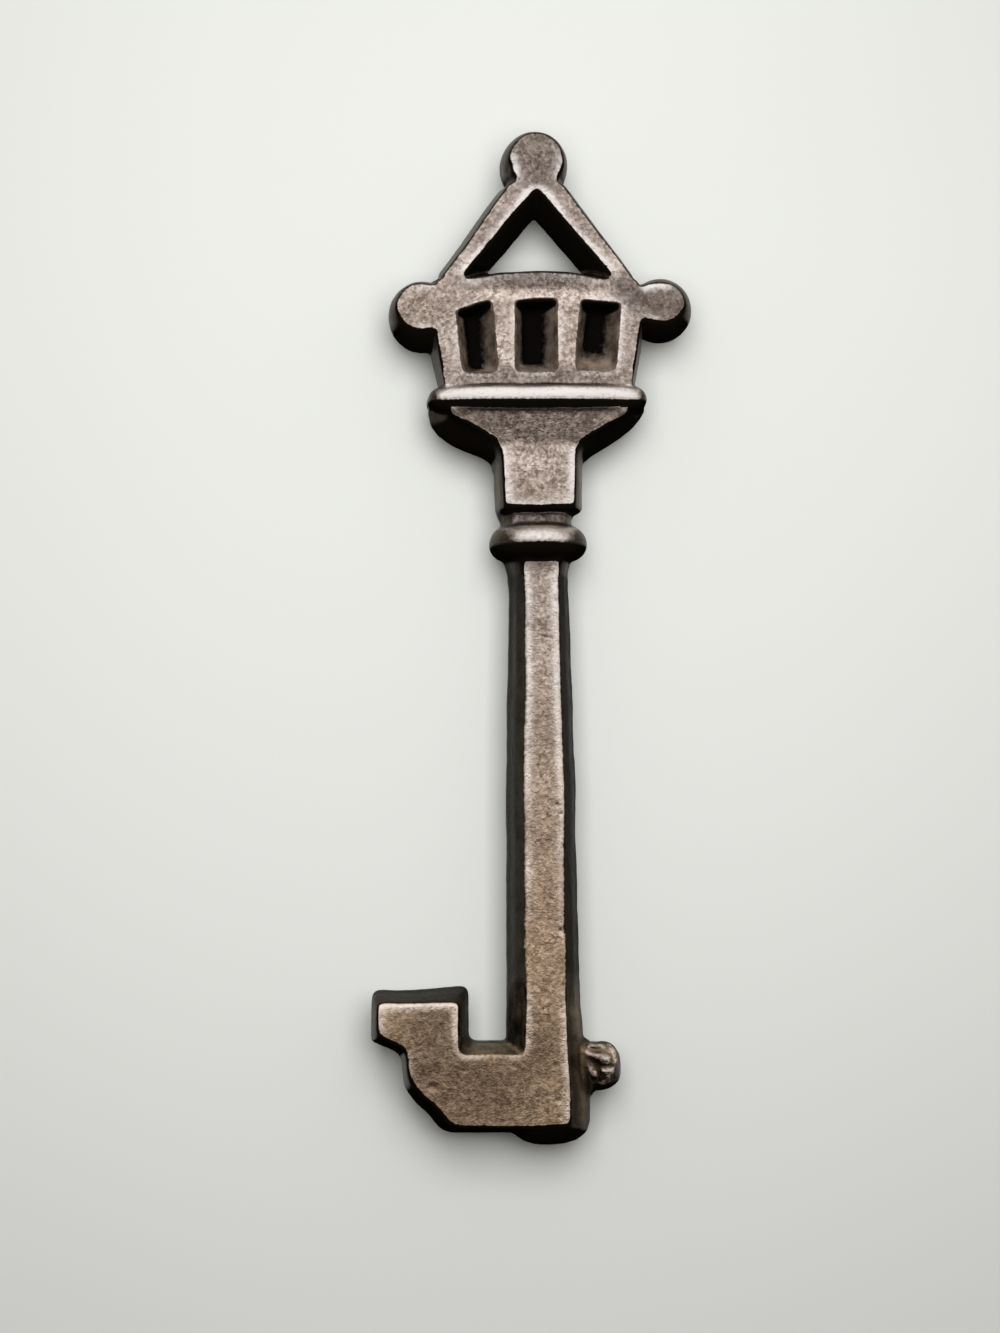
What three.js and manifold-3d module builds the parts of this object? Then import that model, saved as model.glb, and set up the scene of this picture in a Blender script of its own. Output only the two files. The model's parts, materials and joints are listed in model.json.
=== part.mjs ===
// A skeleton key with a lantern-shaped bow, built up from separate castings and brazed, lying flat.
// Millimetres. X runs across the key, Y along it towards the bow, and Z up through its thickness.
// Outlines are written for the front and back faces, and grow by the casting draft at mid thickness.

import * as THREE from "three";
import { mergeVertices } from "three/addons/utils/BufferGeometryUtils.js";
import Module from "manifold-3d";

// Thickness, draft and clearances
const THICKNESS = 5.6;
const PARTING_BELT = 0.8;
const PLATE_DRAFT = 0.9;
const CAGE_DRAFT = 0.5;
const FIT = 0.1;
const SEAT_GAP = 0.3;

// Collar
const COLLAR_RADIUS = 4.35;
const COLLAR_SEAT_RADIUS = 3.4;
const COLLAR_HEIGHT = 3.3;

// Shank, measured down from the underside of the collar
const SHANK_LENGTH = 49;
const SHANK_TIP_LENGTH = 2;
const TIP_TAPER = [
  { rise: 0, face: 0.9, middle: 1.6, depth: 1.4 },
  { rise: 0.8, face: 1.45, middle: 2.75, depth: 2.4 },
];
const SHANK_TOP_FACE = 1.45;
const SHANK_FOOT_FACE = 1.8;
const SHANK_DRAFT = 1.45;
const TANG_WIDTH = 2.4;
const TANG_REACH = 1;

// Neck block, capital and moulding, stacked above the collar
const NECK_LENGTH = 1.3;
const NECK_FACE = 2.4;
const NECK_INSET = 0.6;
const NECK_SHOULDER = 0.3;
const BLOCK_LENGTH = 4;
const BLOCK_FACE = 3;
const CAPITAL_HEIGHT = 4.7;
const CAPITAL_NECK_HEIGHT = 1.9;
const CAPITAL_TOP_FACE = 7.6;
const CAPITAL_TOP_DEPTH = 3.3;
const CAPITAL_LIP = 0.7;
const BOWL_FLARE = { reach: 5.9, rise: 1.1 };
const BOWL_SHOULDER_RISE = 2.6;
const MOULDING_HEIGHT = 2.2;
const MOULDING_OVERHANG = 0.45;
const MOULDING_HALF_DEPTH = 3.8;
const MOULDING_ROUND = 0.9;
const MOULDING_CORNER = 1.1;

// Lantern cage
const CAGE_HEIGHT = 9.3;
const CAGE_FOOT_HALF = 8.3;
const CAGE_EAVES_HALF = 9.3;
const CAGE_TENON_WALL = 0.9;
const CAGE_TENON_GAP = 0.1;
const LINTEL_CROWN = 0.7;
const LINTEL_STEPS = 4;
const WINDOW_SILL = 1.1;
const WINDOW_HEIGHT = 6.4;
const WINDOW_WIDTHS = [2.9, 3.75, 3.6];
const MULLION_WIDTH = 1.8;
const WINDOW_ROW_SHIFT = 0.2;
const WINDOW_SPLAY = 0.28;
const WINDOW_HEAD_FALL = 0.6;
const WINDOW_DRAFT = 0.9;
const WINDOW_HEAD_DRAFT = 0.3;
const WINDOW_SILL_SLOPES = [0.9, 1.4, 3];
const WINDOW_WEB = 0.9;

// Gable of two rafters
const GABLE_RISE = 8.7;
const RAFTER_FACE_WIDTH = 1.4;
const RAFTER_SETBACK = 0.7;
const RAFTER_OUTER_DRAFT = 0.6;
const RAFTER_INNER_DRAFT = 1.3;
const APEX_FLAT_HALF = 2.2;
const APEX_WEB = 1.4;
const RAFTER_TENON_WIDTH = 1.3;
const RAFTER_TENON_DEPTH = 2.4;
const RAFTER_TENON_LENGTH = 1.1;

// Ball knobs, a barrel section with flat faces
const APEX_KNOB_RADIUS = 3;
const APEX_KNOB_RISE = 2;
const APEX_KNOB_FACE = 2.3;
const LEFT_KNOB = { radius: 3.1, face: 1.85, reach: 0.7, drop: 2.9 };
const RIGHT_KNOB = { radius: 2.9, face: 1.75, reach: 1.8, drop: 2.3 };
const KNOB_SHOULDER = { out: 0.75, up: 0.6 };
const KNOB_PEG_RADIUS = 0.9;
const KNOB_PEG_LENGTH = 1.3;
const PEG_ROOT = 0.5;

// Bit, measured from the key's tip and from its seat beside the shank
const BIT_REACH = 12.8;
const BIT_RISE = 1.95;
const BIT_HEAD_TOP_RISE = 12.65;
const BIT_HEAD_DEPTH = 2.9;
const BIT_STEP_REACH = 10.3;
const BIT_STEP_DEPTH = 6.3;
const BIT_FOOT_REACH = 6.4;
const BIT_CORNER = 0.6;
const BIT_END_DRAFT = 0.45;
const BIT_NOTCH_WIDTH = 5.75;
const BIT_NOTCH_DEPTH = 4.6;
const TENON_HEIGHT = 3;
const TENON_DEPTH = 2.4;
const NUB_SEAT_CUT = 0.9;
const NUB_REACH = 4.3;
const NUB_HEIGHT = 4.3;
const NUB_DEPTH = 3.8;
const NUB_DROP = 1.25;
const NUB_CORNER = 0.9;
const NUB_DRAFT = 0.6;

const HALF = THICKNESS / 2;
const BELT = PARTING_BELT / 2;
const COLLAR_TOP = COLLAR_HEIGHT / 2;
const SHANK_TOP = -COLLAR_HEIGHT / 2;
const SHANK_FOOT = SHANK_TOP - SHANK_LENGTH;
const TIP_END = SHANK_FOOT - SHANK_TIP_LENGTH;
const BLOCK_TOP = COLLAR_TOP + NECK_LENGTH + BLOCK_LENGTH;
const CAPITAL_TOP = BLOCK_TOP + CAPITAL_HEIGHT;
const MOULDING_TOP = CAPITAL_TOP + MOULDING_HEIGHT;
const TANG_TOP = MOULDING_TOP + TANG_REACH;
const EAVES = MOULDING_TOP + CAGE_HEIGHT;
const APEX = EAVES + GABLE_RISE;
const RAFTER_FOOT_X = CAGE_EAVES_HALF - RAFTER_SETBACK;
const RAFTER_RUN = RAFTER_FOOT_X - APEX_FLAT_HALF;
const RAFTER_SLANT = Math.hypot(GABLE_RISE, RAFTER_RUN) / GABLE_RISE;
const RAFTER_FOOT_INNER = RAFTER_FOOT_X - RAFTER_FACE_WIDTH * RAFTER_SLANT;
const BIT_SEAT = -SHANK_FOOT_FACE;
const NUB_SEAT = SHANK_FOOT_FACE + SHANK_DRAFT - NUB_SEAT_CUT;
const BIT_FOOT = TIP_END + BIT_RISE;
const BIT_HEAD_TOP = TIP_END + BIT_HEAD_TOP_RISE;
const NOTCH_FLOOR = BIT_HEAD_TOP - BIT_NOTCH_DEPTH;
const TENON_MIDDLE = NOTCH_FLOOR - NUB_DROP;
const PAST = 1;

const wasm = await Module();
wasm.setup();

// A closed geometry as a solid that can be joined and cut.
function solid(geometry) {
  const bare = new THREE.BufferGeometry().setAttribute("position", geometry.getAttribute("position"));
  if (geometry.index) bare.setIndex(geometry.index);
  const merged = mergeVertices(bare, 1e-4);
  return new wasm.Manifold(
    new wasm.Mesh({
      numProp: 3,
      vertProperties: new Float32Array(merged.attributes.position.array),
      triVerts: new Uint32Array(merged.index.array),
    }),
  );
}

// The solid back as a geometry with flat shading.
function geometryOf(made) {
  const mesh = made.getMesh();
  const geometry = new THREE.BufferGeometry();
  geometry.setAttribute("position", new THREE.BufferAttribute(new Float32Array(mesh.vertProperties), 3));
  geometry.setIndex(new THREE.BufferAttribute(new Uint32Array(mesh.triVerts), 1));
  const flat = geometry.toNonIndexed();
  flat.computeVertexNormals();
  return flat;
}

// A box given by its corners.
function box(x0, x1, y0, y1, z0, z1) {
  const made = new THREE.BoxGeometry(x1 - x0, y1 - y0, z1 - z0);
  made.translate((x0 + x1) / 2, (y0 + y1) / 2, (z0 + z1) / 2);
  return solid(made);
}

// Closes a stack of rings, each with as many points, into a solid. The rings run anticlockwise
// seen from the last one, and capTriangles lists the triangles of one end.
function skin(rings, capTriangles) {
  const count = rings[0].length;
  const triangles = [];
  for (let level = 0; level + 1 < rings.length; level += 1) {
    for (let i = 0; i < count; i += 1) {
      const a = level * count + i;
      const b = level * count + ((i + 1) % count);
      triangles.push(a, b, b + count, a, b + count, a + count);
    }
  }
  const last = (rings.length - 1) * count;
  for (const [a, b, c] of capTriangles) {
    triangles.push(a, c, b, last + a, last + b, last + c);
  }
  const geometry = new THREE.BufferGeometry();
  geometry.setAttribute("position", new THREE.Float32BufferAttribute(rings.flat(2), 3));
  geometry.setIndex(triangles);
  return solid(geometry);
}

// Moves each edge of an anticlockwise outline outwards by its own draft. Edge i runs from point i.
function grown(outline, drafts) {
  const count = outline.length;
  const edges = outline.map(([x, y], i) => {
    const [nextX, nextY] = outline[(i + 1) % count];
    const length = Math.hypot(nextX - x, nextY - y);
    const draft = Array.isArray(drafts) ? drafts[i] : drafts;
    return { x, y, dx: (nextX - x) / length, dy: (nextY - y) / length, draft };
  });
  return edges.map((edge, i) => {
    const before = edges[(i + count - 1) % count];
    const cross = before.dx * edge.dy - before.dy * edge.dx;
    if (Math.abs(cross) < 1e-3) return [edge.x + edge.dy * edge.draft, edge.y - edge.dx * edge.draft];
    const along = (edge.draft - before.draft * (before.dx * edge.dx + before.dy * edge.dy)) / cross;
    return [
      edge.x + before.dy * before.draft + before.dx * along,
      edge.y - before.dx * before.draft + before.dy * along,
    ];
  });
}

// A casting whose faces follow one outline and whose parting belt follows another.
function casting(face, middle, half = HALF) {
  const levels = [
    [face, -half],
    [middle, -BELT],
    [middle, BELT],
    [face, half],
  ];
  const flat = face.map(([x, y]) => new THREE.Vector2(x, y));
  const caps = THREE.ShapeUtils.triangulateShape(flat, []);
  return skin(levels.map(([outline, z]) => outline.map(([x, y]) => [x, y, z])), caps);
}

// A bar along Y whose section is set at each station by its half width and half depth.
function bar(stations, section) {
  const rings = stations.map(([y, ...size]) => section(...size).map(([x, z]) => [x, y, z]));
  const caps = rings[0].slice(2).map((_, i) => [0, i + 1, i + 2]);
  return skin(rings, caps);
}

// An eight-sided section with flat faces and a parting belt.
function octagon(faceHalf, middleHalf, half) {
  const belt = Math.min(BELT, half / 2);
  return [
    [faceHalf, -half], [-faceHalf, -half], [-middleHalf, -belt], [-middleHalf, belt],
    [-faceHalf, half], [faceHalf, half], [middleHalf, belt], [middleHalf, -belt],
  ];
}

function rectangle(halfWidth, halfDepth) {
  return [
    [halfWidth, -halfDepth], [-halfWidth, -halfDepth],
    [-halfWidth, halfDepth], [halfWidth, halfDepth],
  ];
}

// A rectangle with its corners cut off.
function chamfered(halfWidth, halfDepth) {
  const x = halfWidth - MOULDING_CORNER;
  const z = halfDepth - MOULDING_CORNER;
  return [
    [x, -halfDepth], [-x, -halfDepth], [-halfWidth, -z], [-halfWidth, z],
    [-x, halfDepth], [x, halfDepth], [halfWidth, z], [halfWidth, -z],
  ];
}

// A square hole or tang on the key's axis.
function axialSquare(width, y0, y1) {
  return box(-width / 2, width / 2, y0, y1, -width / 2, width / 2);
}

function makeShank() {
  const stem = bar(
    [
      ...TIP_TAPER.map(({ rise, face, middle, depth }) => [TIP_END + rise, face, middle, depth]),
      [SHANK_FOOT, SHANK_FOOT_FACE, SHANK_FOOT_FACE + SHANK_DRAFT, HALF],
      [SHANK_TOP, SHANK_TOP_FACE, SHANK_TOP_FACE + SHANK_DRAFT, HALF],
    ],
    octagon,
  );
  const tang = axialSquare(TANG_WIDTH, SHANK_TOP - PAST, TANG_TOP);
  const z = HALF + PAST;
  const bitSeat = box(-BIT_REACH, BIT_SEAT, TIP_END - PAST, NOTCH_FLOOR + PLATE_DRAFT, -z, z);
  const nubHalf = NUB_HEIGHT / 2 + FIT;
  const nubSeat = box(NUB_SEAT, BIT_REACH, TENON_MIDDLE - nubHalf, TENON_MIDDLE + nubHalf, -z, z);
  return stem.add(tang).subtract(bitSeat).subtract(nubSeat).subtract(tenonBar(FIT));
}

// The bit's tenon through the shank, grown by the clearance where it is cut as a mortise.
function tenonBar(clearance) {
  const y = TENON_HEIGHT / 2 + clearance;
  const z = TENON_DEPTH / 2 + clearance;
  return box(BIT_SEAT - PAST, NUB_SEAT + PAST, TENON_MIDDLE - y, TENON_MIDDLE + y, -z, z);
}

function makeCollar() {
  const bulge = COLLAR_RADIUS - COLLAR_SEAT_RADIUS;
  const profile = [new THREE.Vector2(0, SHANK_TOP)];
  const steps = 8;
  for (let i = 0; i <= steps; i += 1) {
    const angle = -Math.PI / 2 + (Math.PI * i) / steps;
    const radius = COLLAR_SEAT_RADIUS + bulge * Math.cos(angle);
    profile.push(new THREE.Vector2(radius, COLLAR_TOP * Math.sin(angle)));
  }
  profile.push(new THREE.Vector2(0, COLLAR_TOP));
  const bead = solid(new THREE.LatheGeometry(profile, 40));
  return bead.subtract(axialSquare(TANG_WIDTH + 2 * FIT, SHANK_TOP - PAST, COLLAR_TOP + PAST));
}

function makeNeckBlock() {
  const shoulder = COLLAR_TOP + NECK_LENGTH;
  const body = bar(
    [
      [COLLAR_TOP, NECK_FACE, NECK_FACE + PLATE_DRAFT, HALF - NECK_INSET],
      [shoulder - NECK_SHOULDER, NECK_FACE, NECK_FACE + PLATE_DRAFT, HALF - NECK_INSET],
      [shoulder, BLOCK_FACE - NECK_SHOULDER, BLOCK_FACE + PLATE_DRAFT - NECK_SHOULDER, HALF],
      [BLOCK_TOP, BLOCK_FACE, BLOCK_FACE + PLATE_DRAFT, HALF],
    ],
    octagon,
  );
  return body.subtract(axialSquare(TANG_WIDTH + 2 * FIT, COLLAR_TOP - PAST, BLOCK_TOP + PAST));
}

// A right-hand half outline, bottom to top, with its mirror image.
function mirrored(half) {
  const left = half.map(([x, y]) => [-x, y]).reverse();
  return [...half, ...left.filter(([x]) => x < 0)];
}

function makeCapital() {
  const neckTop = BLOCK_TOP + CAPITAL_NECK_HEIGHT;
  const brimHalf = CAGE_EAVES_HALF + MOULDING_OVERHANG - MOULDING_ROUND;
  const face = mirrored([
    [BLOCK_FACE, BLOCK_TOP],
    [BLOCK_FACE, neckTop - CAPITAL_LIP],
    [BLOCK_FACE, neckTop],
    [CAPITAL_TOP_FACE, CAPITAL_TOP - CAPITAL_LIP / 2],
    [CAPITAL_TOP_FACE, CAPITAL_TOP],
  ]);
  const middle = mirrored([
    [BLOCK_FACE + PLATE_DRAFT, BLOCK_TOP],
    [BOWL_FLARE.reach, BLOCK_TOP + BOWL_FLARE.rise],
    [brimHalf - PLATE_DRAFT, BLOCK_TOP + BOWL_SHOULDER_RISE],
    [brimHalf, CAPITAL_TOP - CAPITAL_LIP],
    [brimHalf, CAPITAL_TOP],
  ]);
  const brim = bar(
    [
      [neckTop, BLOCK_FACE, HALF],
      [CAPITAL_TOP, CAPITAL_TOP_FACE, CAPITAL_TOP_DEPTH],
    ],
    rectangle,
  );
  const hole = axialSquare(TANG_WIDTH + 2 * FIT, BLOCK_TOP - PAST, CAPITAL_TOP + PAST);
  return casting(face, middle).add(brim).subtract(hole);
}

// A band round the cage's foot with a half-round edge.
function makeMoulding() {
  const halfWidth = CAGE_EAVES_HALF + MOULDING_OVERHANG;
  const stations = [];
  const steps = 6;
  for (let i = 0; i <= steps; i += 1) {
    const angle = -Math.PI / 2 + (Math.PI * i) / steps;
    const inset = MOULDING_ROUND * (1 - Math.cos(angle));
    const y = CAPITAL_TOP + (MOULDING_HEIGHT * (1 + Math.sin(angle))) / 2;
    stations.push([y, halfWidth - inset, MOULDING_HALF_DEPTH - inset]);
  }
  const x = CAGE_FOOT_HALF - CAGE_TENON_WALL + FIT;
  const z = HALF - CAGE_TENON_WALL + FIT;
  return bar(stations, chamfered).subtract(box(-x, x, CAPITAL_TOP - PAST, MOULDING_TOP + PAST, -z, z));
}

// The two pockets of one window, front and back, with a thin web left between them.
function windowPockets(left, width, side, sillSlope) {
  const sill = MOULDING_TOP + WINDOW_SILL;
  const head = sill + WINDOW_HEIGHT;
  const lean = side * WINDOW_SPLAY;
  const leftHead = head - (side < 0 ? WINDOW_HEAD_FALL : 0);
  const rightHead = head - (side > 0 ? WINDOW_HEAD_FALL : 0);
  const mouth = [
    [left - lean, sill],
    [left - lean + width, sill],
    [left + lean + width, rightHead],
    [left + lean, leftHead],
  ];
  const floor = grown(mouth, [-sillSlope, -WINDOW_DRAFT, -WINDOW_HEAD_DRAFT, -WINDOW_DRAFT]);
  const depth = HALF - WINDOW_WEB / 2;
  const over = -SEAT_GAP / depth;
  const brim = mouth.map(([x, y], i) => [x + (floor[i][0] - x) * over, y + (floor[i][1] - y) * over]);
  const caps = [[0, 1, 2], [0, 2, 3]];
  const at = (outline, z) => outline.map(([x, y]) => [x, y, z]);
  const front = skin([at(floor, WINDOW_WEB / 2), at(brim, HALF + SEAT_GAP)], caps);
  const back = skin([at(brim, -HALF - SEAT_GAP), at(floor, -WINDOW_WEB / 2)], caps);
  return front.add(back);
}

function makeLanternCage() {
  const seatFoot = EAVES - LEFT_KNOB.drop - LEFT_KNOB.radius;
  const crown = (half, rise) =>
    Array.from({ length: LINTEL_STEPS + 1 }, (_, i) => {
      const out = 1 - i / LINTEL_STEPS;
      return [half * out, EAVES + rise * (1 - out ** 2)];
    });
  const side = (draft) => [
    [CAGE_FOOT_HALF + draft, MOULDING_TOP],
    [CAGE_EAVES_HALF + draft / 2, seatFoot - SEAT_GAP],
    [CAGE_EAVES_HALF, seatFoot],
    [CAGE_EAVES_HALF, EAVES],
  ];
  const faceCrown = RAFTER_FOOT_INNER - SEAT_GAP;
  const middleCrown = faceCrown - RAFTER_INNER_DRAFT * RAFTER_SLANT;
  let cage = casting(
    mirrored([...side(0), ...crown(faceCrown, LINTEL_CROWN)]),
    mirrored([...side(CAGE_DRAFT), ...crown(middleCrown, LINTEL_CROWN + CAGE_DRAFT)]),
  );
  const x = CAGE_FOOT_HALF - CAGE_TENON_WALL;
  const z = HALF - CAGE_TENON_WALL;
  cage = cage.add(box(-x, x, CAPITAL_TOP + CAGE_TENON_GAP, MOULDING_TOP + SEAT_GAP, -z, z));
  const row = WINDOW_WIDTHS.reduce((sum, width) => sum + width, 0) + 2 * MULLION_WIDTH;
  let left = WINDOW_ROW_SHIFT - row / 2;
  WINDOW_WIDTHS.forEach((width, i) => {
    cage = cage.subtract(windowPockets(left, width, i - 1, WINDOW_SILL_SLOPES[i]));
    left += width + MULLION_WIDTH;
  });
  cage = cage.subtract(axialSquare(TANG_WIDTH + 2 * FIT, CAPITAL_TOP - PAST, TANG_TOP + FIT));
  for (const hand of [-1, 1]) {
    cage = cage.subtract(rafterTenon(hand, FIT));
    cage = cage.subtract(sidePeg(hand, hand < 0 ? LEFT_KNOB : RIGHT_KNOB, FIT));
  }
  return cage;
}

// The tenon under a rafter, grown by the clearance where it is cut as a mortise.
function rafterTenon(side, clearance) {
  const centre = (side * (RAFTER_FOOT_X + RAFTER_FOOT_INNER)) / 2;
  const x = RAFTER_TENON_WIDTH / 2 + clearance;
  const z = RAFTER_TENON_DEPTH / 2 + clearance;
  return box(centre - x, centre + x, EAVES - RAFTER_TENON_LENGTH - clearance, EAVES + SEAT_GAP, -z, z);
}

// A round peg along Y, with its root in the knob and its tip pointing down.
function pegBlank(clearance) {
  const radius = KNOB_PEG_RADIUS + clearance;
  const length = KNOB_PEG_LENGTH + clearance + PEG_ROOT;
  const peg = new THREE.CylinderGeometry(radius, radius, length, 20);
  peg.translate(0, PEG_ROOT - length / 2, 0);
  return peg;
}

function sidePeg(side, knob, clearance) {
  const peg = pegBlank(clearance);
  peg.rotateZ((-side * Math.PI) / 2);
  peg.translate(side * CAGE_EAVES_HALF, EAVES - knob.drop, 0);
  return solid(peg);
}

function apexPeg(clearance) {
  const peg = pegBlank(clearance);
  peg.translate(0, APEX, 0);
  return solid(peg);
}

// One sloping bar of the roof, mitred at the middle of the apex.
function makeRafter(side) {
  const outline = [
    [0, APEX - APEX_WEB],
    [RAFTER_FOOT_INNER, EAVES],
    [RAFTER_FOOT_X, EAVES],
    [APEX_FLAT_HALF, APEX],
    [0, APEX],
  ];
  const middle = grown(outline, [RAFTER_INNER_DRAFT, 0, RAFTER_OUTER_DRAFT, 0, 0]);
  const turned = (points) => (side > 0 ? points : points.map(([x, y]) => [-x, y]).reverse());
  const leg = casting(turned(outline), turned(middle));
  return leg.add(rafterTenon(side, 0)).subtract(apexPeg(FIT));
}

// A barrel-shaped knob about the Z axis.
function knobBarrel(radius, faceRadius, x, y) {
  const shoulder = faceRadius + (radius - faceRadius) * KNOB_SHOULDER.out;
  const profile = [
    new THREE.Vector2(0, -HALF),
    new THREE.Vector2(faceRadius, -HALF),
    new THREE.Vector2(shoulder, -HALF * KNOB_SHOULDER.up),
    new THREE.Vector2(radius, -BELT),
    new THREE.Vector2(radius, BELT),
    new THREE.Vector2(shoulder, HALF * KNOB_SHOULDER.up),
    new THREE.Vector2(faceRadius, HALF),
    new THREE.Vector2(0, HALF),
  ];
  const barrel = new THREE.LatheGeometry(profile, 36);
  barrel.rotateX(Math.PI / 2);
  barrel.translate(x, y, 0);
  return solid(barrel);
}

function makeApexKnob() {
  const barrel = knobBarrel(APEX_KNOB_RADIUS, APEX_KNOB_FACE, 0, APEX + APEX_KNOB_RISE);
  const below = APEX_KNOB_RADIUS * 2;
  const z = HALF + PAST;
  return barrel.subtract(box(-below, below, APEX - below, APEX, -z, z)).add(apexPeg(0));
}

function makeEaveKnob(side, knob) {
  const seat = side * CAGE_EAVES_HALF;
  const y = EAVES - knob.drop;
  const barrel = knobBarrel(knob.radius, knob.face, seat + side * knob.reach, y);
  const inner = seat - side * knob.radius * 2;
  const tall = knob.radius + PAST;
  const z = HALF + PAST;
  const cut = box(Math.min(seat, inner), Math.max(seat, inner), y - tall, y + tall, -z, z);
  return barrel.subtract(cut).add(sidePeg(side, knob, 0));
}

function makeBit() {
  const left = BIT_SEAT - BIT_REACH;
  const step = BIT_SEAT - BIT_STEP_REACH;
  const foot = BIT_SEAT - BIT_FOOT_REACH;
  const notch = BIT_SEAT - BIT_NOTCH_WIDTH;
  const shoulder = BIT_HEAD_TOP - BIT_HEAD_DEPTH;
  const outline = [
    [BIT_SEAT, NOTCH_FLOOR],
    [notch + BIT_CORNER, NOTCH_FLOOR],
    [notch, NOTCH_FLOOR + BIT_CORNER],
    [notch, BIT_HEAD_TOP],
    [left, BIT_HEAD_TOP],
    [left, shoulder + BIT_CORNER],
    [left + BIT_CORNER, shoulder],
    [step - BIT_CORNER, shoulder - BIT_CORNER],
    [step, shoulder - 2 * BIT_CORNER],
    [step, BIT_HEAD_TOP - BIT_STEP_DEPTH],
    [foot - BIT_CORNER, BIT_FOOT + BIT_CORNER],
    [foot, BIT_FOOT],
    [BIT_SEAT, BIT_FOOT],
  ];
  const drafts = outline.map((_, i) => (i + 1 < outline.length ? PLATE_DRAFT : 0));
  drafts[outline.findIndex(([x]) => x === left)] = BIT_END_DRAFT;
  const flag = casting(outline, grown(outline, drafts));
  return flag.add(tenonBar(0)).add(makeNub());
}

// The tenon's end, peened over on the far side of the shank.
function makeNub() {
  const half = NUB_HEIGHT / 2;
  const right = NUB_SEAT + NUB_REACH;
  const outline = [
    [NUB_SEAT, TENON_MIDDLE - half],
    [right - NUB_CORNER, TENON_MIDDLE - half],
    [right, TENON_MIDDLE - half + NUB_CORNER],
    [right, TENON_MIDDLE + half - NUB_CORNER],
    [right - NUB_CORNER, TENON_MIDDLE + half],
    [NUB_SEAT, TENON_MIDDLE + half],
  ];
  const drafts = outline.map((_, i) => (i + 1 < outline.length ? -NUB_DRAFT : 0));
  const face = grown(outline, drafts);
  return casting(face, outline, NUB_DEPTH / 2);
}

const patinated = { color: 0x7d6555, roughness: 0.5, metalness: 0.9 };
const dark = { color: 0x4a3b31, roughness: 0.6, metalness: 0.9 };
const worn = { color: 0x9a7d66, roughness: 0.4, metalness: 0.9 };

const pieces = [
  ["shank", makeShank(), patinated],
  ["collar", makeCollar(), worn],
  ["neck_block", makeNeckBlock(), patinated],
  ["capital", makeCapital(), dark],
  ["moulding", makeMoulding(), worn],
  ["lantern_cage", makeLanternCage(), patinated],
  ["rafter_left", makeRafter(-1), patinated],
  ["rafter_right", makeRafter(1), patinated],
  ["apex_knob", makeApexKnob(), worn],
  ["eave_knob_left", makeEaveKnob(-1, LEFT_KNOB), worn],
  ["eave_knob_right", makeEaveKnob(1, RIGHT_KNOB), worn],
  ["bit", makeBit(), patinated],
];

const key = new THREE.Group();
for (const [name, made, finish] of pieces) {
  const mesh = new THREE.Mesh(geometryOf(made), new THREE.MeshStandardMaterial(finish));
  mesh.name = name;
  key.add(mesh);
}

// The origin is under the middle of the key, on the surface that it lies on.
const bounds = new THREE.Box3().setFromObject(key);
const centre = bounds.getCenter(new THREE.Vector3());
key.position.set(-centre.x, -centre.y, -bounds.min.z);

export default key;
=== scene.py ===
# %% [markdown]
# A small bronze skeleton key with a lantern-shaped bow lies face up on a pale table.
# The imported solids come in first. They are the fixed frame that every form below is fitted to, so a size
# is read from them wherever they have it.

# %% Load the frame
import json
import math

import bmesh
import bpy
import numpy as np
from mathutils import Matrix, Vector, kdtree, noise


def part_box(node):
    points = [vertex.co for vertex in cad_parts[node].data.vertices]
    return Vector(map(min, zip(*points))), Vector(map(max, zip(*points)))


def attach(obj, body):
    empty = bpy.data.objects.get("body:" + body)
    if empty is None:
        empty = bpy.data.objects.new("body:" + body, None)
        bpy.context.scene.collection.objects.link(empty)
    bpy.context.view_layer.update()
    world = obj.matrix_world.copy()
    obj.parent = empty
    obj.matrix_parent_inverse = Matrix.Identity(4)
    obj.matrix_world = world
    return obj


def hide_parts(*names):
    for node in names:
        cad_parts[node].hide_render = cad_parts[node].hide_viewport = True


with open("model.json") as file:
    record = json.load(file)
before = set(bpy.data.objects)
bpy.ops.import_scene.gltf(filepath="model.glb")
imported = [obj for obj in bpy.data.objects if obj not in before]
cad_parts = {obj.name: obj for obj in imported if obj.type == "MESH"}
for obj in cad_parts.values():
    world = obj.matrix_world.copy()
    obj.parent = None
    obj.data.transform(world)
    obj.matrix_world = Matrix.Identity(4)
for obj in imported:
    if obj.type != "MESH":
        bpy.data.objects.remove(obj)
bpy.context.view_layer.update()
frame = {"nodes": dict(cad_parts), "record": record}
record = frame["record"]
MM = 0.001
print("nodes", len(frame["nodes"]))

# %% [markdown]
# The real key looks like one casting from a two-part mould. Its maker would set it out in millimetres
# from the middle of the collar, so this script does too. X runs across the key, Y runs along it towards
# the bow, and Z runs up through its thickness. Metres come back when a mesh is handed to the scene.

# %% Set out the key in millimetres
collar_low, collar_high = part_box("collar")
KEY_CENTRE = (collar_low + collar_high) / 2


def reach(node):
    """The lowest and highest corners of a solid, in millimetres from the middle of the collar."""
    low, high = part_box(node)
    return (low - KEY_CENTRE) / MM, (high - KEY_CENTRE) / MM


HALF = reach("shank")[1].z
TIP = reach("shank")[0].y
SHANK_TOP = reach("collar")[0].y
COLLAR_TOP = reach("collar")[1].y
COLLAR_RADIUS = reach("collar")[1].x
BLOCK_TOP = reach("neck_block")[1].y
CAPITAL_TOP = reach("capital")[1].y
MOULDING_TOP = reach("moulding")[1].y
MOULDING_HALF = reach("moulding")[1].x
MOULDING_DEPTH = reach("moulding")[1].z
CROWN_RISE = 1.2
PEG_LENGTH = 1.3
EAVES = reach("lantern_cage")[1].y - CROWN_RISE
APEX = reach("rafter_left")[1].y
CAGE_SIDE = PEG_LENGTH - reach("eave_knob_left")[1].x
print("half", round(HALF, 2), "eaves", round(EAVES, 2), "apex", round(APEX, 2), "tip", round(TIP, 2))

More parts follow.
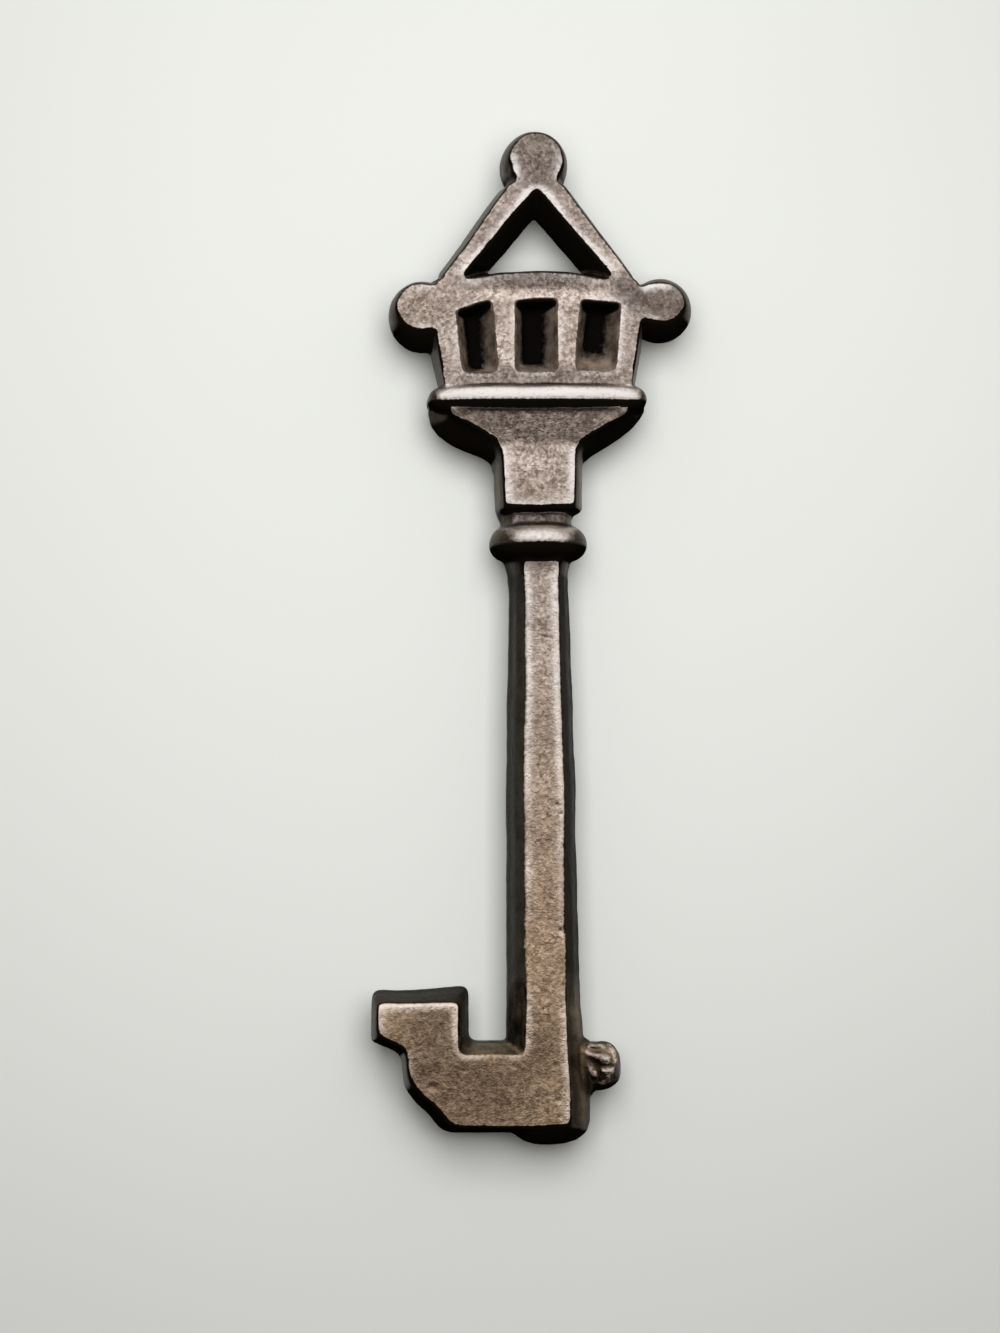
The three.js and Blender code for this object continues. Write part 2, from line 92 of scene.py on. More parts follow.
# %% [markdown]
# Each form of the pattern is a closed skin over a stack of rings. Two kinds cover the key. A plate is a
# drawn outline that grows outwards from the flat faces to the parting line, because a casting has to slip
# out of its mould. A bar is a section that changes along the key. Both could be modelled by hand with
# extrude and inset, but here they come from outlines, so that a change of one size moves what hangs on it.

# %% Skins, plates and bars
BELT = 0.4
BELT_SHARE = 0.4
SHOULDER_RISE = 0.6
SHOULDER_REACH = 0.56


def skin(forms, rings):
    """Closes a stack of rings, each with as many points, into one shell."""
    rows = [[forms.verts.new(point) for point in ring] for ring in rings]
    for lower, upper in zip(rows, rows[1:]):
        for i in range(len(lower)):
            j = (i + 1) % len(lower)
            forms.faces.new((lower[i], lower[j], upper[j], upper[i]))
    forms.faces.new(rows[0][::-1])
    forms.faces.new(rows[-1])


def plate(forms, face, middle, half=HALF, swell=1.25, steps=5):
    """A plate whose faces follow one outline and whose parting line follows another."""
    shares = [k / steps for k in range(steps + 1)]
    levels = [(1 - share**swell, BELT + (half - BELT) * share) for share in shares]

    def ring(grow, z):
        return [(fx + (mx - fx) * grow, fy + (my - fy) * grow, z) for (fx, fy), (mx, my) in zip(face, middle)]

    skin(forms, [ring(grow, -z) for grow, z in reversed(levels)] + [ring(grow, z) for grow, z in levels])


def bar(forms, stations, section):
    """A bar along the key, with one station for each change of section."""
    rings = []
    for y, *sizes in stations:
        rings.append([(x, y, z) for x, z in section(*sizes)])
    skin(forms, rings)


def faceted(face, left, right, half, shift=0.0):
    """A section with flat front and back, perhaps off centre, sloping flanks and a narrow parting line."""
    belt = min(BELT, half * BELT_SHARE)
    rise = belt + (half - belt) * SHOULDER_RISE

    def side(face, width):
        return [(face, half), (face + (width - face) * SHOULDER_REACH, rise), (width, belt)]

    right_top = side(face + shift, right)
    left_top = [(-x, z) for x, z in side(face - shift, left)]
    right_low = [(x, -z) for x, z in reversed(right_top)]
    left_low = [(x, -z) for x, z in reversed(left_top)]
    return right_top[::-1] + left_top + left_low + right_low


forms = bmesh.new()
print("parting line", BELT * 2, "mm thick")

# %% [markdown]
# The parting line of a plate lies outside its face by the draft of each side, and a drawn corner is never
# sharp. By hand these would be an offset and a bevel.

# %% Outlines
NEARLY_STRAIGHT = 0.02
LONGEST_CUT = 0.45


def grown(outline, drafts):
    """Moves each edge of an anticlockwise outline outwards by its own draft. Edge i leaves point i."""
    count = len(outline)
    lines = []
    for i, draft in enumerate(drafts):
        start = Vector(outline[i])
        along = (Vector(outline[(i + 1) % count]) - start).normalized()
        lines.append((start + Vector((along.y, -along.x)) * draft, along))
    moved = []
    for i in range(count):
        (before, along_before), (start, along) = lines[i - 1], lines[i]
        turn = along_before.cross(along)
        if abs(turn) < NEARLY_STRAIGHT:
            moved.append(tuple(start))
        else:
            moved.append(tuple(before + along_before * ((start - before).cross(along) / turn)))
    return moved


def rounded(outline, radius, steps=4):
    """Cuts each corner back by the radius and lays a short curve across it."""
    soft = []
    for i, point in enumerate(outline):
        corner = Vector(point)
        arms = [Vector(outline[i - 1]) - corner, Vector(outline[(i + 1) % len(outline)]) - corner]
        start, end = (corner + arm.normalized() * min(radius, arm.length * LONGEST_CUT) for arm in arms)
        for step in range(steps + 1):
            t = step / steps
            soft.append(tuple(start * (1 - t) ** 2 + corner * 2 * t * (1 - t) + end * t**2))
    return soft


def mirrored(half_outline):
    """A right-hand half outline, bottom to top, with its mirror image."""
    return half_outline + [(-x, y) for x, y in reversed(half_outline) if x > 0]


# %% [markdown]
# Modifiers work on objects, so a form becomes one for as long as a modifier needs it.

# %% Objects
def as_object(name, bm):
    """Turns a bmesh into an object of the scene."""
    bmesh.ops.recalc_face_normals(bm, faces=bm.faces)
    mesh = bpy.data.meshes.new(name)
    bm.to_mesh(mesh)
    bm.free()
    made = bpy.data.objects.new(name, mesh)
    bpy.context.scene.collection.objects.link(made)
    return made


def evaluated_mesh(made):
    """The object's mesh with its modifiers applied."""
    return bpy.data.meshes.new_from_object(made.evaluated_get(bpy.context.evaluated_depsgraph_get()))


def discard(*objects):
    for made in objects:
        bpy.data.objects.remove(made)

# %% [markdown]
# The shank is a tapering stem with a flat front, a flat back and sloping flanks. It flares a little where
# it meets the collar, and it ends in a blunt rounded tip that bulges on the right, under the nub. A station
# gives its place along the key, the half width of the face, the left and the right half width, the half
# thickness and how far the face lies off centre.

# %% Shank
SHANK_STATIONS = [
    (TIP, 0.5, 0.9, 1.7, 0.7),
    (TIP + 0.35, 0.9, 1.9, 2.9, 1.5),
    (TIP + 1.0, 1.5, 2.8, 3.7, 2.2),
    (TIP + 1.9, 1.85, 3.2, 4.0, HALF),
    (TIP + 4.0, 1.9, 3.3, 4.0, HALF),
    (TIP + 6.5, 1.88, 3.35, 3.7, HALF),
    (TIP + 12.5, 1.65, 3.25, 3.3, HALF),
    (SHANK_TOP - 29.8, 1.57, 3.15, 3.12, HALF, -0.03),
    (SHANK_TOP - 20.0, 1.74, 3.06, 3.06, HALF, 0.07),
    (SHANK_TOP - 12.0, 1.5, 2.92, 2.93, HALF, 0.16),
    (SHANK_TOP - 2.6, 1.45, 2.58, 2.68, HALF, 0.08),
    (SHANK_TOP - 1.0, 1.48, 2.7, 2.65, HALF, 0.08),
    (SHANK_TOP - 0.1, 1.55, 3.0, 2.85, HALF + 0.15, 0.08),
    (SHANK_TOP + 0.8, 1.8, 3.3, 3.3, HALF + 0.5, 0.08),
]
bar(forms, SHANK_STATIONS, faceted)
print("shank stations", len(SHANK_STATIONS))

# %% [markdown]
# The collar is a turned bead. The neck above it is a short waist, set back from the faces, and the block
# on it is nearly square. The last station of each form reaches into the next one, so that they fuse.

# %% Collar, neck and block
def round_section(radius, steps=48):
    turns = [2 * math.pi * i / steps for i in range(steps)]
    return [(radius * math.cos(turn), radius * math.sin(turn)) for turn in turns]


COLLAR_SEAT = 2.75
BEAD_LIFT = 0.15
bead = []
BEAD_STEPS = 14
for i in range(BEAD_STEPS + 1):
    turn = math.pi * (i / BEAD_STEPS - 0.5)
    rise = COLLAR_TOP if turn > 0 else COLLAR_TOP - BEAD_LIFT
    bead.append((rise * math.sin(turn), COLLAR_SEAT + (COLLAR_RADIUS - COLLAR_SEAT) * math.cos(turn)))
bar(forms, bead, round_section)

NECK_DEPTH = HALF - 0.6
NECK_STATIONS = [
    (COLLAR_TOP - 0.5, 2.2, 3.2, 2.9, NECK_DEPTH),
    (COLLAR_TOP + 0.3, 2.3, 3.35, 2.95, NECK_DEPTH),
    (COLLAR_TOP + 0.8, 2.4, 3.6, 3.2, NECK_DEPTH),
    (COLLAR_TOP + 1.2, 2.45, 3.65, 3.5, NECK_DEPTH),
]
BLOCK_STATIONS = [
    (COLLAR_TOP + 1.0, 2.7, 3.65, 3.5, NECK_DEPTH),
    (COLLAR_TOP + 1.25, 3.05, 3.72, 3.95, HALF - 0.1),
    (COLLAR_TOP + 1.5, 3.1, 3.75, 4.0, HALF),
    (BLOCK_TOP + 0.8, 3.2, 3.85, 4.0, HALF),
]
bar(forms, NECK_STATIONS, faceted)
bar(forms, BLOCK_STATIONS, faceted)

# %% [markdown]
# The capital is a bowl seen from the front: its flanks swell out to the moulding while its front face
# stays a narrow trapezoid that leans forward. So it is a plate whose two outlines are far apart, and a
# short wedge that carries the leaning face.

# %% Capital
TRAPEZOID_FOOT = BLOCK_TOP + 1.75
capital_face = [
    (3.05, BLOCK_TOP - 0.6),
    (3.15, BLOCK_TOP + 0.4),
    (3.25, BLOCK_TOP + 1.1),
    (3.4, TRAPEZOID_FOOT),
    (4.6, BLOCK_TOP + 2.5),
    (6.0, BLOCK_TOP + 3.4),
    (7.35, BLOCK_TOP + 4.2),
    (7.6, CAPITAL_TOP + 0.3),
]
bowl_right = [
    (3.9, BLOCK_TOP - 0.6),
    (4.1, BLOCK_TOP + 0.3),
    (4.9, BLOCK_TOP + 0.95),
    (6.3, BLOCK_TOP + 1.8),
    (7.5, BLOCK_TOP + 2.6),
    (8.5, BLOCK_TOP + 3.4),
    (9.15, BLOCK_TOP + 4.15),
    (9.7, CAPITAL_TOP + 0.3),
]
bowl_left = [
    (3.9, BLOCK_TOP - 0.6),
    (4.1, BLOCK_TOP + 0.3),
    (4.9, BLOCK_TOP + 0.85),
    (6.4, BLOCK_TOP + 1.45),
    (7.7, BLOCK_TOP + 2.1),
    (8.8, BLOCK_TOP + 2.95),
    (9.4, BLOCK_TOP + 3.8),
    (9.7, CAPITAL_TOP + 0.3),
]
capital_bowl = bowl_right + [(-x, y) for x, y in reversed(bowl_left)]
plate(forms, mirrored(capital_face), capital_bowl, swell=1.1)
LEAN = 0.5
WEDGE_FLANK = 0.5
WEDGE_OVERLAP = 0.25
wedge = []
for half_width, y in capital_face[3:]:
    share = (y - TRAPEZOID_FOOT) / (CAPITAL_TOP - TRAPEZOID_FOOT)
    edge = half_width + WEDGE_OVERLAP * min(share * 3, 1)
    wedge.append((y, edge, edge + WEDGE_FLANK, edge + WEDGE_FLANK, HALF + LEAN * share))
bar(forms, wedge, faceted)

# %% [markdown]
# The moulding is a half-round band under the lantern. It stands proud all round and its ends are round,
# so its section is a rectangle with soft corners that is drawn in towards the top and the bottom. The ends
# follow a half circle, and the front is a little fuller than that.

# %% Moulding
def soft_rectangle(width, depth, squareness=4.5, steps=96):
    """A rectangle whose sides run into its corners along one curve."""
    ring = []
    for i in range(steps):
        turn = 2 * math.pi * i / steps
        across, up = math.cos(turn), math.sin(turn)
        x = math.copysign(abs(across) ** (2 / squareness), across) * width
        z = math.copysign(abs(up) ** (2 / squareness), up) * depth
        ring.append((x, z))
    return ring


MOULDING_ROUND = 1.05
END_ROUND = 1.3
band = []
BAND_STEPS = 16
for i in range(BAND_STEPS + 1):
    turn = math.pi * (i / BAND_STEPS - 0.5)
    inset = MOULDING_ROUND * (1 - max(math.cos(turn), 0) ** 0.6)
    y = (CAPITAL_TOP + MOULDING_TOP) / 2 + (MOULDING_TOP - CAPITAL_TOP) / 2 * math.sin(turn)
    end_inset = END_ROUND * (1 - math.cos(turn))
    band.append((y, MOULDING_HALF - end_inset, MOULDING_DEPTH - inset))
bar(forms, band, soft_rectangle)

# %% [markdown]
# The lantern is a plate that widens towards the eaves, with a low arch along its top. Its three windows
# are deep recesses, front and back, that narrow inwards to a thin web. The web stands where the windows
# only go dark, and it is painted black later as painted shade. The windows are cut with a Boolean now,
# while the lantern is still a light mesh, rather than from the heavy skin that comes later.

# %% Lantern cage
RAFTER_FOOT_OUTER = 8.6
RAFTER_FOOT_INNER = 6.85
RAFTER_OUTER_DRAFT = 0.6
RAFTER_INNER_DRAFT = 1.2
CROWN_FACE = 0.75
cage_face = [
    (8.15, MOULDING_TOP - 0.6),
    (8.65, MOULDING_TOP + 2.6),
    (8.95, MOULDING_TOP + 4.6),
    (CAGE_SIDE, MOULDING_TOP + 6.0),
    (CAGE_SIDE - 0.4, EAVES),
    (RAFTER_FOOT_INNER, EAVES),
    (RAFTER_FOOT_INNER * 0.5, EAVES + CROWN_FACE * 0.75),
    (0.0, EAVES + CROWN_FACE),
]
cage_middle = [
    (8.55, MOULDING_TOP - 0.6),
    (9.15, MOULDING_TOP + 2.2),
    (9.5, MOULDING_TOP + 4.0),
    (CAGE_SIDE, MOULDING_TOP + 6.0),
    (CAGE_SIDE, EAVES),
    (RAFTER_FOOT_INNER - 2.0, EAVES + 0.9),
    (RAFTER_FOOT_INNER * 0.4, EAVES + CROWN_RISE),
    (0.0, EAVES + CROWN_RISE + 0.1),
]
cage = bmesh.new()
plate(cage, mirrored(cage_face), mirrored(cage_middle))

WINDOW_WIDTHS = (3.1, 3.75, 3.6)
SILL_SLOPES = (0.9, 1.4, 3.0)
MULLION_WIDTH = 1.8
WINDOW_ROW_SHIFT = 0.1
WINDOW_SPLAY = 0.28
WINDOW_SILL = MOULDING_TOP + 1.1
WINDOW_HEAD = WINDOW_SILL + 6.3
HEAD_FALLS = ((1.1, 0.1), (0.15, 0.0), (0.05, 0.35))
LEFT_DRAFT = 1.0
RIGHT_DRAFT = 1.2
HEAD_DRAFT = 0.3
# The depth of the web that closes each window, a sheet that is painted black as shade.
SHADE_WEB = 0.45
PAST_FACE = 0.6


def window_cutters(cutters, left, width, lean, falls, sill_slope):
    """The front and back pockets of one window."""
    mouth = [
        (left - lean, WINDOW_SILL),
        (left - lean + width, WINDOW_SILL),
        (left + lean + width, WINDOW_HEAD - falls[1]),
        (left + lean, WINDOW_HEAD - falls[0]),
    ]
    floor = grown(mouth, [-sill_slope, -RIGHT_DRAFT, -HEAD_DRAFT, -LEFT_DRAFT])
    over = -PAST_FACE / (HALF - SHADE_WEB)
    brim = [(x + (u - x) * over, y + (v - y) * over) for (x, y), (u, v) in zip(mouth, floor)]
    deep = [(x, y, SHADE_WEB) for x, y in floor]
    high = [(x, y, HALF + PAST_FACE) for x, y in brim]
    skin(cutters, [deep, high])
    skin(cutters, [[(x, y, -z) for x, y, z in high], [(x, y, -z) for x, y, z in deep]])


cutters = bmesh.new()
left = WINDOW_ROW_SHIFT - (sum(WINDOW_WIDTHS) + 2 * MULLION_WIDTH) / 2
for i, width in enumerate(WINDOW_WIDTHS):
    window_cutters(cutters, left, width, (i - 1) * WINDOW_SPLAY, HEAD_FALLS[i], SILL_SLOPES[i])
    left += width + MULLION_WIDTH


cage_blank = as_object("cage_blank", cage)
window_tool = as_object("window_tool", cutters)
cut = cage_blank.modifiers.new("windows", "BOOLEAN")
cut.operation = "DIFFERENCE"
cut.solver = "EXACT"
cut.object = window_tool
forms.from_mesh(evaluated_mesh(cage_blank))
discard(cage_blank, window_tool)
print("lantern faces after the windows are cut", len(forms.faces))

# %% [markdown]
# Two rafters lean together over the lantern. Each is a plate with little draft outside and much inside,
# so the triangle between them narrows towards the parting line, as it does on the real key.

# %% Rafters
APEX_FLAT = 2.3
APEX_WEB = 0.6
FOOT_DEPTH = 1.5


def rafter(forms, side):
    outline = [
        (0.0, APEX - APEX_WEB),
        (RAFTER_FOOT_INNER, EAVES),
        (RAFTER_FOOT_INNER, EAVES - FOOT_DEPTH),
        (RAFTER_FOOT_OUTER, EAVES - FOOT_DEPTH),
        (RAFTER_FOOT_OUTER, EAVES),
        (APEX_FLAT, APEX),
        (0.0, APEX + 0.8),
    ]
    middle = grown(outline, [RAFTER_INNER_DRAFT, 0, 0, 0, RAFTER_OUTER_DRAFT, 0, 0])
    if side < 0:
        outline, middle = ([(-x, y) for x, y in reversed(points)] for points in (outline, middle))
    plate(forms, outline, middle)


rafter(forms, 1)
rafter(forms, -1)

# %% [markdown]
# The three knobs are balls pressed flat front and back. Their flat faces aren't centred on the balls:
# each sits up towards the bow, and that leaves a wide dark flank underneath. At the eaves the face runs
# on into the lantern's, so there each outline is a circle stretched inwards.

# %% Knobs
def knob(forms, side, face_at, face_radius, inner_reach, ball_at, ball_radius, steps=40):
    face = []
    ball = []
    for i in range(steps):
        turn = 2 * math.pi * i / steps
        across, up = math.cos(turn), math.sin(turn)
        reach_across = inner_reach if side * across < 0 else face_radius
        face.append((face_at[0] + reach_across * across, face_at[1] + face_radius * up))
        ball.append((ball_at[0] + ball_radius * across, ball_at[1] + ball_radius * up))
    plate(forms, face, ball, swell=2.0, steps=9)


knob(forms, 0, (0.05, APEX + 2.05), 2.4, 2.4, (0.0, APEX + 2.0), 3.0)
knob(forms, -1, (-CAGE_SIDE - 1.05, EAVES - 2.4), 2.05, 2.9, (-CAGE_SIDE - 0.7, EAVES - 2.85), 3.1)
knob(forms, 1, (CAGE_SIDE + 1.95, EAVES - 2.0), 1.85, 3.2, (CAGE_SIDE + 1.9, EAVES - 2.2), 2.8)

# %% [markdown]
# The bit is a stepped flag beside the foot of the shank. Its face lies level with the shank's, so the two
# read as one. Its corners are rounded twice over: in the outline here, and again when the skin is eased.

# %% Bit
BIT_LEFT = reach("bit")[0].x
BIT_TOP = reach("bit")[1].y
BIT_FOOT = reach("bit")[0].y
PLATE_DRAFT = 1.0
FOOT_DRAFT = 0.65
SIDE_DRAFT = 0.45
BIT_SEAT = -1.0
NOTCH_FLOOR = BIT_TOP - PLATE_DRAFT - 4.5
HEAD_LEFT = BIT_LEFT + SIDE_DRAFT
HEAD_RIGHT = -7.55
HEAD_TOP = BIT_TOP - PLATE_DRAFT
HEAD_FOOT = HEAD_TOP - 2.9
STEP_LEFT = HEAD_LEFT + 2.5
FLAG_FOOT = BIT_FOOT + FOOT_DRAFT
bit_corners = [
    (BIT_SEAT, NOTCH_FLOOR, PLATE_DRAFT),
    (HEAD_RIGHT, NOTCH_FLOOR, PLATE_DRAFT),
    (HEAD_RIGHT, HEAD_TOP, PLATE_DRAFT + 0.35),
    (HEAD_LEFT + 2.6, HEAD_TOP + 0.03, PLATE_DRAFT),
    (HEAD_LEFT, HEAD_TOP + 0.05, SIDE_DRAFT),
    (HEAD_LEFT, HEAD_FOOT + 0.3, 0.8),
    (HEAD_LEFT + 0.9, HEAD_FOOT - 0.3, 0.6),
    (STEP_LEFT - 0.2, HEAD_FOOT - 0.9, 0.55),
    (STEP_LEFT + 0.05, HEAD_FOOT - 1.7, SIDE_DRAFT),
    (STEP_LEFT + 0.2, HEAD_FOOT - 3.5, 0.8),
    (STEP_LEFT + 1.1, HEAD_FOOT - 4.8, 1.0),
    (STEP_LEFT + 2.6, HEAD_FOOT - 6.0, 0.95),
    (STEP_LEFT + 3.5, FLAG_FOOT + 0.6, 0.9),
    (STEP_LEFT + 4.4, FLAG_FOOT + 0.15, FOOT_DRAFT),
    (BIT_SEAT, FLAG_FOOT, 0.0),
]
bit_face = [(x, y) for x, y, draft in bit_corners]
bit_middle = grown(bit_face, [draft for x, y, draft in bit_corners])
plate(forms, rounded(bit_face, 0.55), rounded(bit_middle, 0.8))
print("bit", round(BIT_LEFT, 2), "to the seat at", BIT_SEAT)

# %% [markdown]
# The nub is the bit's tenon, hammered over on the far side of the shank. The blows left a rounded button
# with small flat facets, and pushed up ridges with pockets between them. A convex hull over seeded random
# points on a rounded block gives the facets, and a hull over two small balls gives each ridge.

# %% Nub
NUB_MIDDLE = Vector((4.95, NOTCH_FLOOR - 1.25, 0.0))
NUB_SIZE = Vector((1.95, 2.2, 1.65))
NUB_ROOT = Vector((3.3, NOTCH_FLOOR - 1.45, 0.0))
NUB_ROOT_SIZE = Vector((1.5, 2.75, 1.45))
NUB_POINTS = 70
NUB_SEED = 11
HAMMER_SQUARENESS = 0.25
HAMMER_SPREAD = (0.96, 1.03)
RIDGE_SINK = 0.35
RIDGE_POINTS = 30
NUB_RIDGES = [
    ((-1.8, 1.35), (0.3, 0.65), 0.33),
    ((0.1, 0.75), (0.4, 0.6), 0.42),
    ((-1.4, 0.7), (-0.7, -0.65), 0.33),
    ((0.1, -0.35), (0.75, -0.4), 0.27),
    ((0.85, 1.35), (1.15, 0.35), 0.3),
    ((-1.1, 1.75), (0.0, 1.75), 0.25),
]
rng = np.random.default_rng(NUB_SEED)


def add_hull(forms, points):
    """Adds the tightest convex skin round some points."""
    hull = bmesh.new()
    for point in points:
        hull.verts.new(point)
    result = bmesh.ops.convex_hull(hull, input=hull.verts)
    bmesh.ops.delete(hull, geom=list(set(result["geom_interior"] + result["geom_unused"])), context="VERTS")
    mesh = bpy.data.meshes.new("hull")
    hull.to_mesh(mesh)
    hull.free()
    forms.from_mesh(mesh)


def hammered(middle, size, count):
    """Points on a rounded block, as uneven as hammering leaves it."""
    points = []
    for _ in range(count):
        way = Vector(rng.normal(size=3)).normalized()
        square = max(abs(part) for part in way)
        block = way / square**HAMMER_SQUARENESS * float(rng.uniform(*HAMMER_SPREAD))
        points.append(middle + Vector(part * length for part, length in zip(block, size)))
    return points


def on_button(x, y, side):
    """A place on the front or back of the button, or on its root where the button has ended."""
    dome = max(1 - (x / NUB_SIZE.x) ** 2 - (y / NUB_SIZE.y) ** 2, 0) ** 0.5 * NUB_SIZE.z
    return NUB_MIDDLE + Vector((x, y, side * max(dome, NUB_ROOT_SIZE.z - RIDGE_SINK)))


add_hull(forms, hammered(NUB_MIDDLE, NUB_SIZE, NUB_POINTS))
add_hull(forms, hammered(NUB_ROOT, NUB_ROOT_SIZE, NUB_POINTS))
for start, end, radius in NUB_RIDGES:
    for side in (1, -1):
        ball = Vector((radius, radius, radius))
        first = hammered(on_button(*start, side), ball, RIDGE_POINTS)
        last = hammered(on_button(*end, side), ball, RIDGE_POINTS)
        add_hull(forms, first + last)
print("nub ridges", len(NUB_RIDGES), "on each side")

# %% [markdown]
# The forms overlap, and the real key has no joint lines, only soft hollows where one form runs into the
# next. A voxel remesh fuses them: it lays a fine grid through the space and keeps only the outer surface.
# Voxels much finer than the rounding that follows keep the edges where they were drawn.

# %% Fuse the forms into one skin
VOXEL = 0.12
pattern = as_object("pattern", forms)
fuse = pattern.modifiers.new("fuse", "REMESH")
fuse.mode = "VOXEL"
fuse.voxel_size = VOXEL
fused = evaluated_mesh(pattern)
discard(pattern)

points = np.empty(len(fused.vertices) * 3)
fused.vertices.foreach_get("co", points)
points = points.reshape(-1, 3)
quads = np.empty(len(fused.loops), dtype=np.int64)
fused.loops.foreach_get("vertex_index", quads)
quads = quads.reshape(-1, 4)
edges = np.empty(len(fused.edges) * 2, dtype=np.int64)
fused.edges.foreach_get("vertices", edges)
edges = edges.reshape(-1, 2)
print("skin", len(points), "points,", len(quads), "faces")

# %% [markdown]
# Casting, tumbling and handling round every edge. Averaging each point with its neighbours does the same,
# and a few rounds of it also take out the steps that the voxels leave. The hollows get many more rounds,
# because metal runs thick into an inner corner.

# %% Ease the edges
def averaged(values, rounds, strength=None):
    """Averages a value of each point with its neighbours', several times over."""
    links = np.bincount(edges.ravel(), minlength=len(values)).astype(float)
    for _ in range(rounds):
        total = np.empty_like(values)
        for axis in range(values.shape[1]):
            total[:, axis] = np.bincount(edges[:, 0], values[edges[:, 1], axis], len(values))
            total[:, axis] += np.bincount(edges[:, 1], values[edges[:, 0], axis], len(values))
        mean = total / links[:, None]
        values = mean if strength is None else values + (mean - values) * strength
    return values


def surface_normals(points):
    """Unit normals of the points, from the faces round them."""
    corners = points[quads]
    across = np.cross(corners[:, 2] - corners[:, 0], corners[:, 3] - corners[:, 1])
    normals = np.empty_like(points)
    for axis in range(3):
        weights = np.repeat(across[:, axis], 4)
        normals[:, axis] = np.bincount(quads.ravel(), weights, len(points))
    return normals / np.maximum(np.linalg.norm(normals, axis=1, keepdims=True), 1e-12)


def bulge_of(points, rounds):
    """How far each point stands out from its own surroundings, in millimetres."""
    return ((points - averaged(points, rounds)) * surface_normals(points)).sum(axis=1)


def smoothstep(low, high, values):
    share = np.clip((values - low) / (high - low), 0, 1)
    return share * share * (3 - 2 * share)


EDGE_ROUNDS = 6
HOLLOW_ROUNDS = 26
HOLLOW_DEPTH = (0.02, 0.12)
HOLLOW_REACH = 12
HOLLOW_SOFTNESS = 4
HOLLOW_STRENGTH = 0.8
points = averaged(points, EDGE_ROUNDS)
hollow = smoothstep(*HOLLOW_DEPTH, -bulge_of(points, HOLLOW_REACH))
hollow = averaged(hollow[:, None], HOLLOW_SOFTNESS)
points = averaged(points, HOLLOW_ROUNDS, strength=hollow * HOLLOW_STRENGTH)
print("hollow points", int((hollow > 0.5).sum()))

# %% [markdown]
# No cast edge is straight. A slow drift moves whole edges by a tenth of a millimetre, a closer one gives
# the faces their orange-peel skin, and a fine one is the grain of the sand. Each comes from Blender's own
# seeded noise, looked up in millimetres, as a size and a depth.

# %% Cast surface
NOISE_SEED = 3
noise.seed_set(NOISE_SEED)


def drift(points, size, depth):
    """A displacement in all directions that varies over the given size."""
    return np.array([noise.noise_vector(Vector(point) / size) for point in points]) * depth


def ripple(points, size, depth):
    """A displacement along the normal that varies over the given size."""
    return np.array([noise.noise(Vector(point) / size) for point in points]) * depth


EDGE_DRIFT = (4.5, 0.1)
FACE_DRIFT = (1.3, 0.025)
ORANGE_PEEL = (0.9, 0.009)
SAND_GRAIN = (0.42, 0.009)
NOISE_PLACES = (31.0, 7.0, 19.0)
BAND_SMOOTHNESS = 0.3
EDGE_SIZE = 16

stand_out = bulge_of(points, EDGE_SIZE)
points = points + drift(points, *EDGE_DRIFT)
points = points + drift(points + NOISE_PLACES[0], *FACE_DRIFT)
normals = surface_normals(points)
in_collar = np.abs(points[:, 1]) < COLLAR_TOP
in_moulding = (points[:, 1] > CAPITAL_TOP) & (points[:, 1] < MOULDING_TOP)
in_band = in_collar | in_moulding
relief = ripple(points + NOISE_PLACES[1], *ORANGE_PEEL) + ripple(points + NOISE_PLACES[2], *SAND_GRAIN)
points = points + normals * (relief * np.where(in_band, BAND_SMOOTHNESS, 1.0))[:, None]
print("drift up to", EDGE_DRIFT[1], "mm")

# %% [markdown]
# Gas leaves pits in a casting, and use leaves nicks. Four dents have their own places: a cold notch by the
# top knob, two by the foot and one on the stem. Each has its middle, its radius and its depth.

# %% Pits and dents
PIT_COUNT = 420
PIT_SEED = 5
PIT_RADIUS = (0.15, 0.35)
PIT_DEPTH = (0.02, 0.06)
FACE_SKIN = 0.25
dents = [
    (Vector((-2.2, 33.3, HALF - 0.4)), 0.75, 0.15),
    (Vector((-9.9, -47.2, HALF)), 0.5, 0.12),
    (Vector((1.0, -48.6, HALF)), 0.4, 0.08),
    (Vector((1.45, -34.0, HALF)), 0.4, 0.16),
]
finder = kdtree.KDTree(len(points))
for i, point in enumerate(points):
    finder.insert(point, i)
finder.balance()
rng = np.random.default_rng(PIT_SEED)
on_face = (np.abs(points[:, 2]) > HALF - FACE_SKIN) & ~in_band
for i in rng.choice(np.flatnonzero(on_face), PIT_COUNT, replace=False):
    dents.append((Vector(points[i]), float(rng.uniform(*PIT_RADIUS)), float(rng.uniform(*PIT_DEPTH))))
for middle, radius, depth in dents:
    for place, i, distance in finder.find_range(middle, radius):
        points[i] -= normals[i] * depth * (1 - (distance / radius) ** 2) ** 2
print("pits and dents", len(dents))
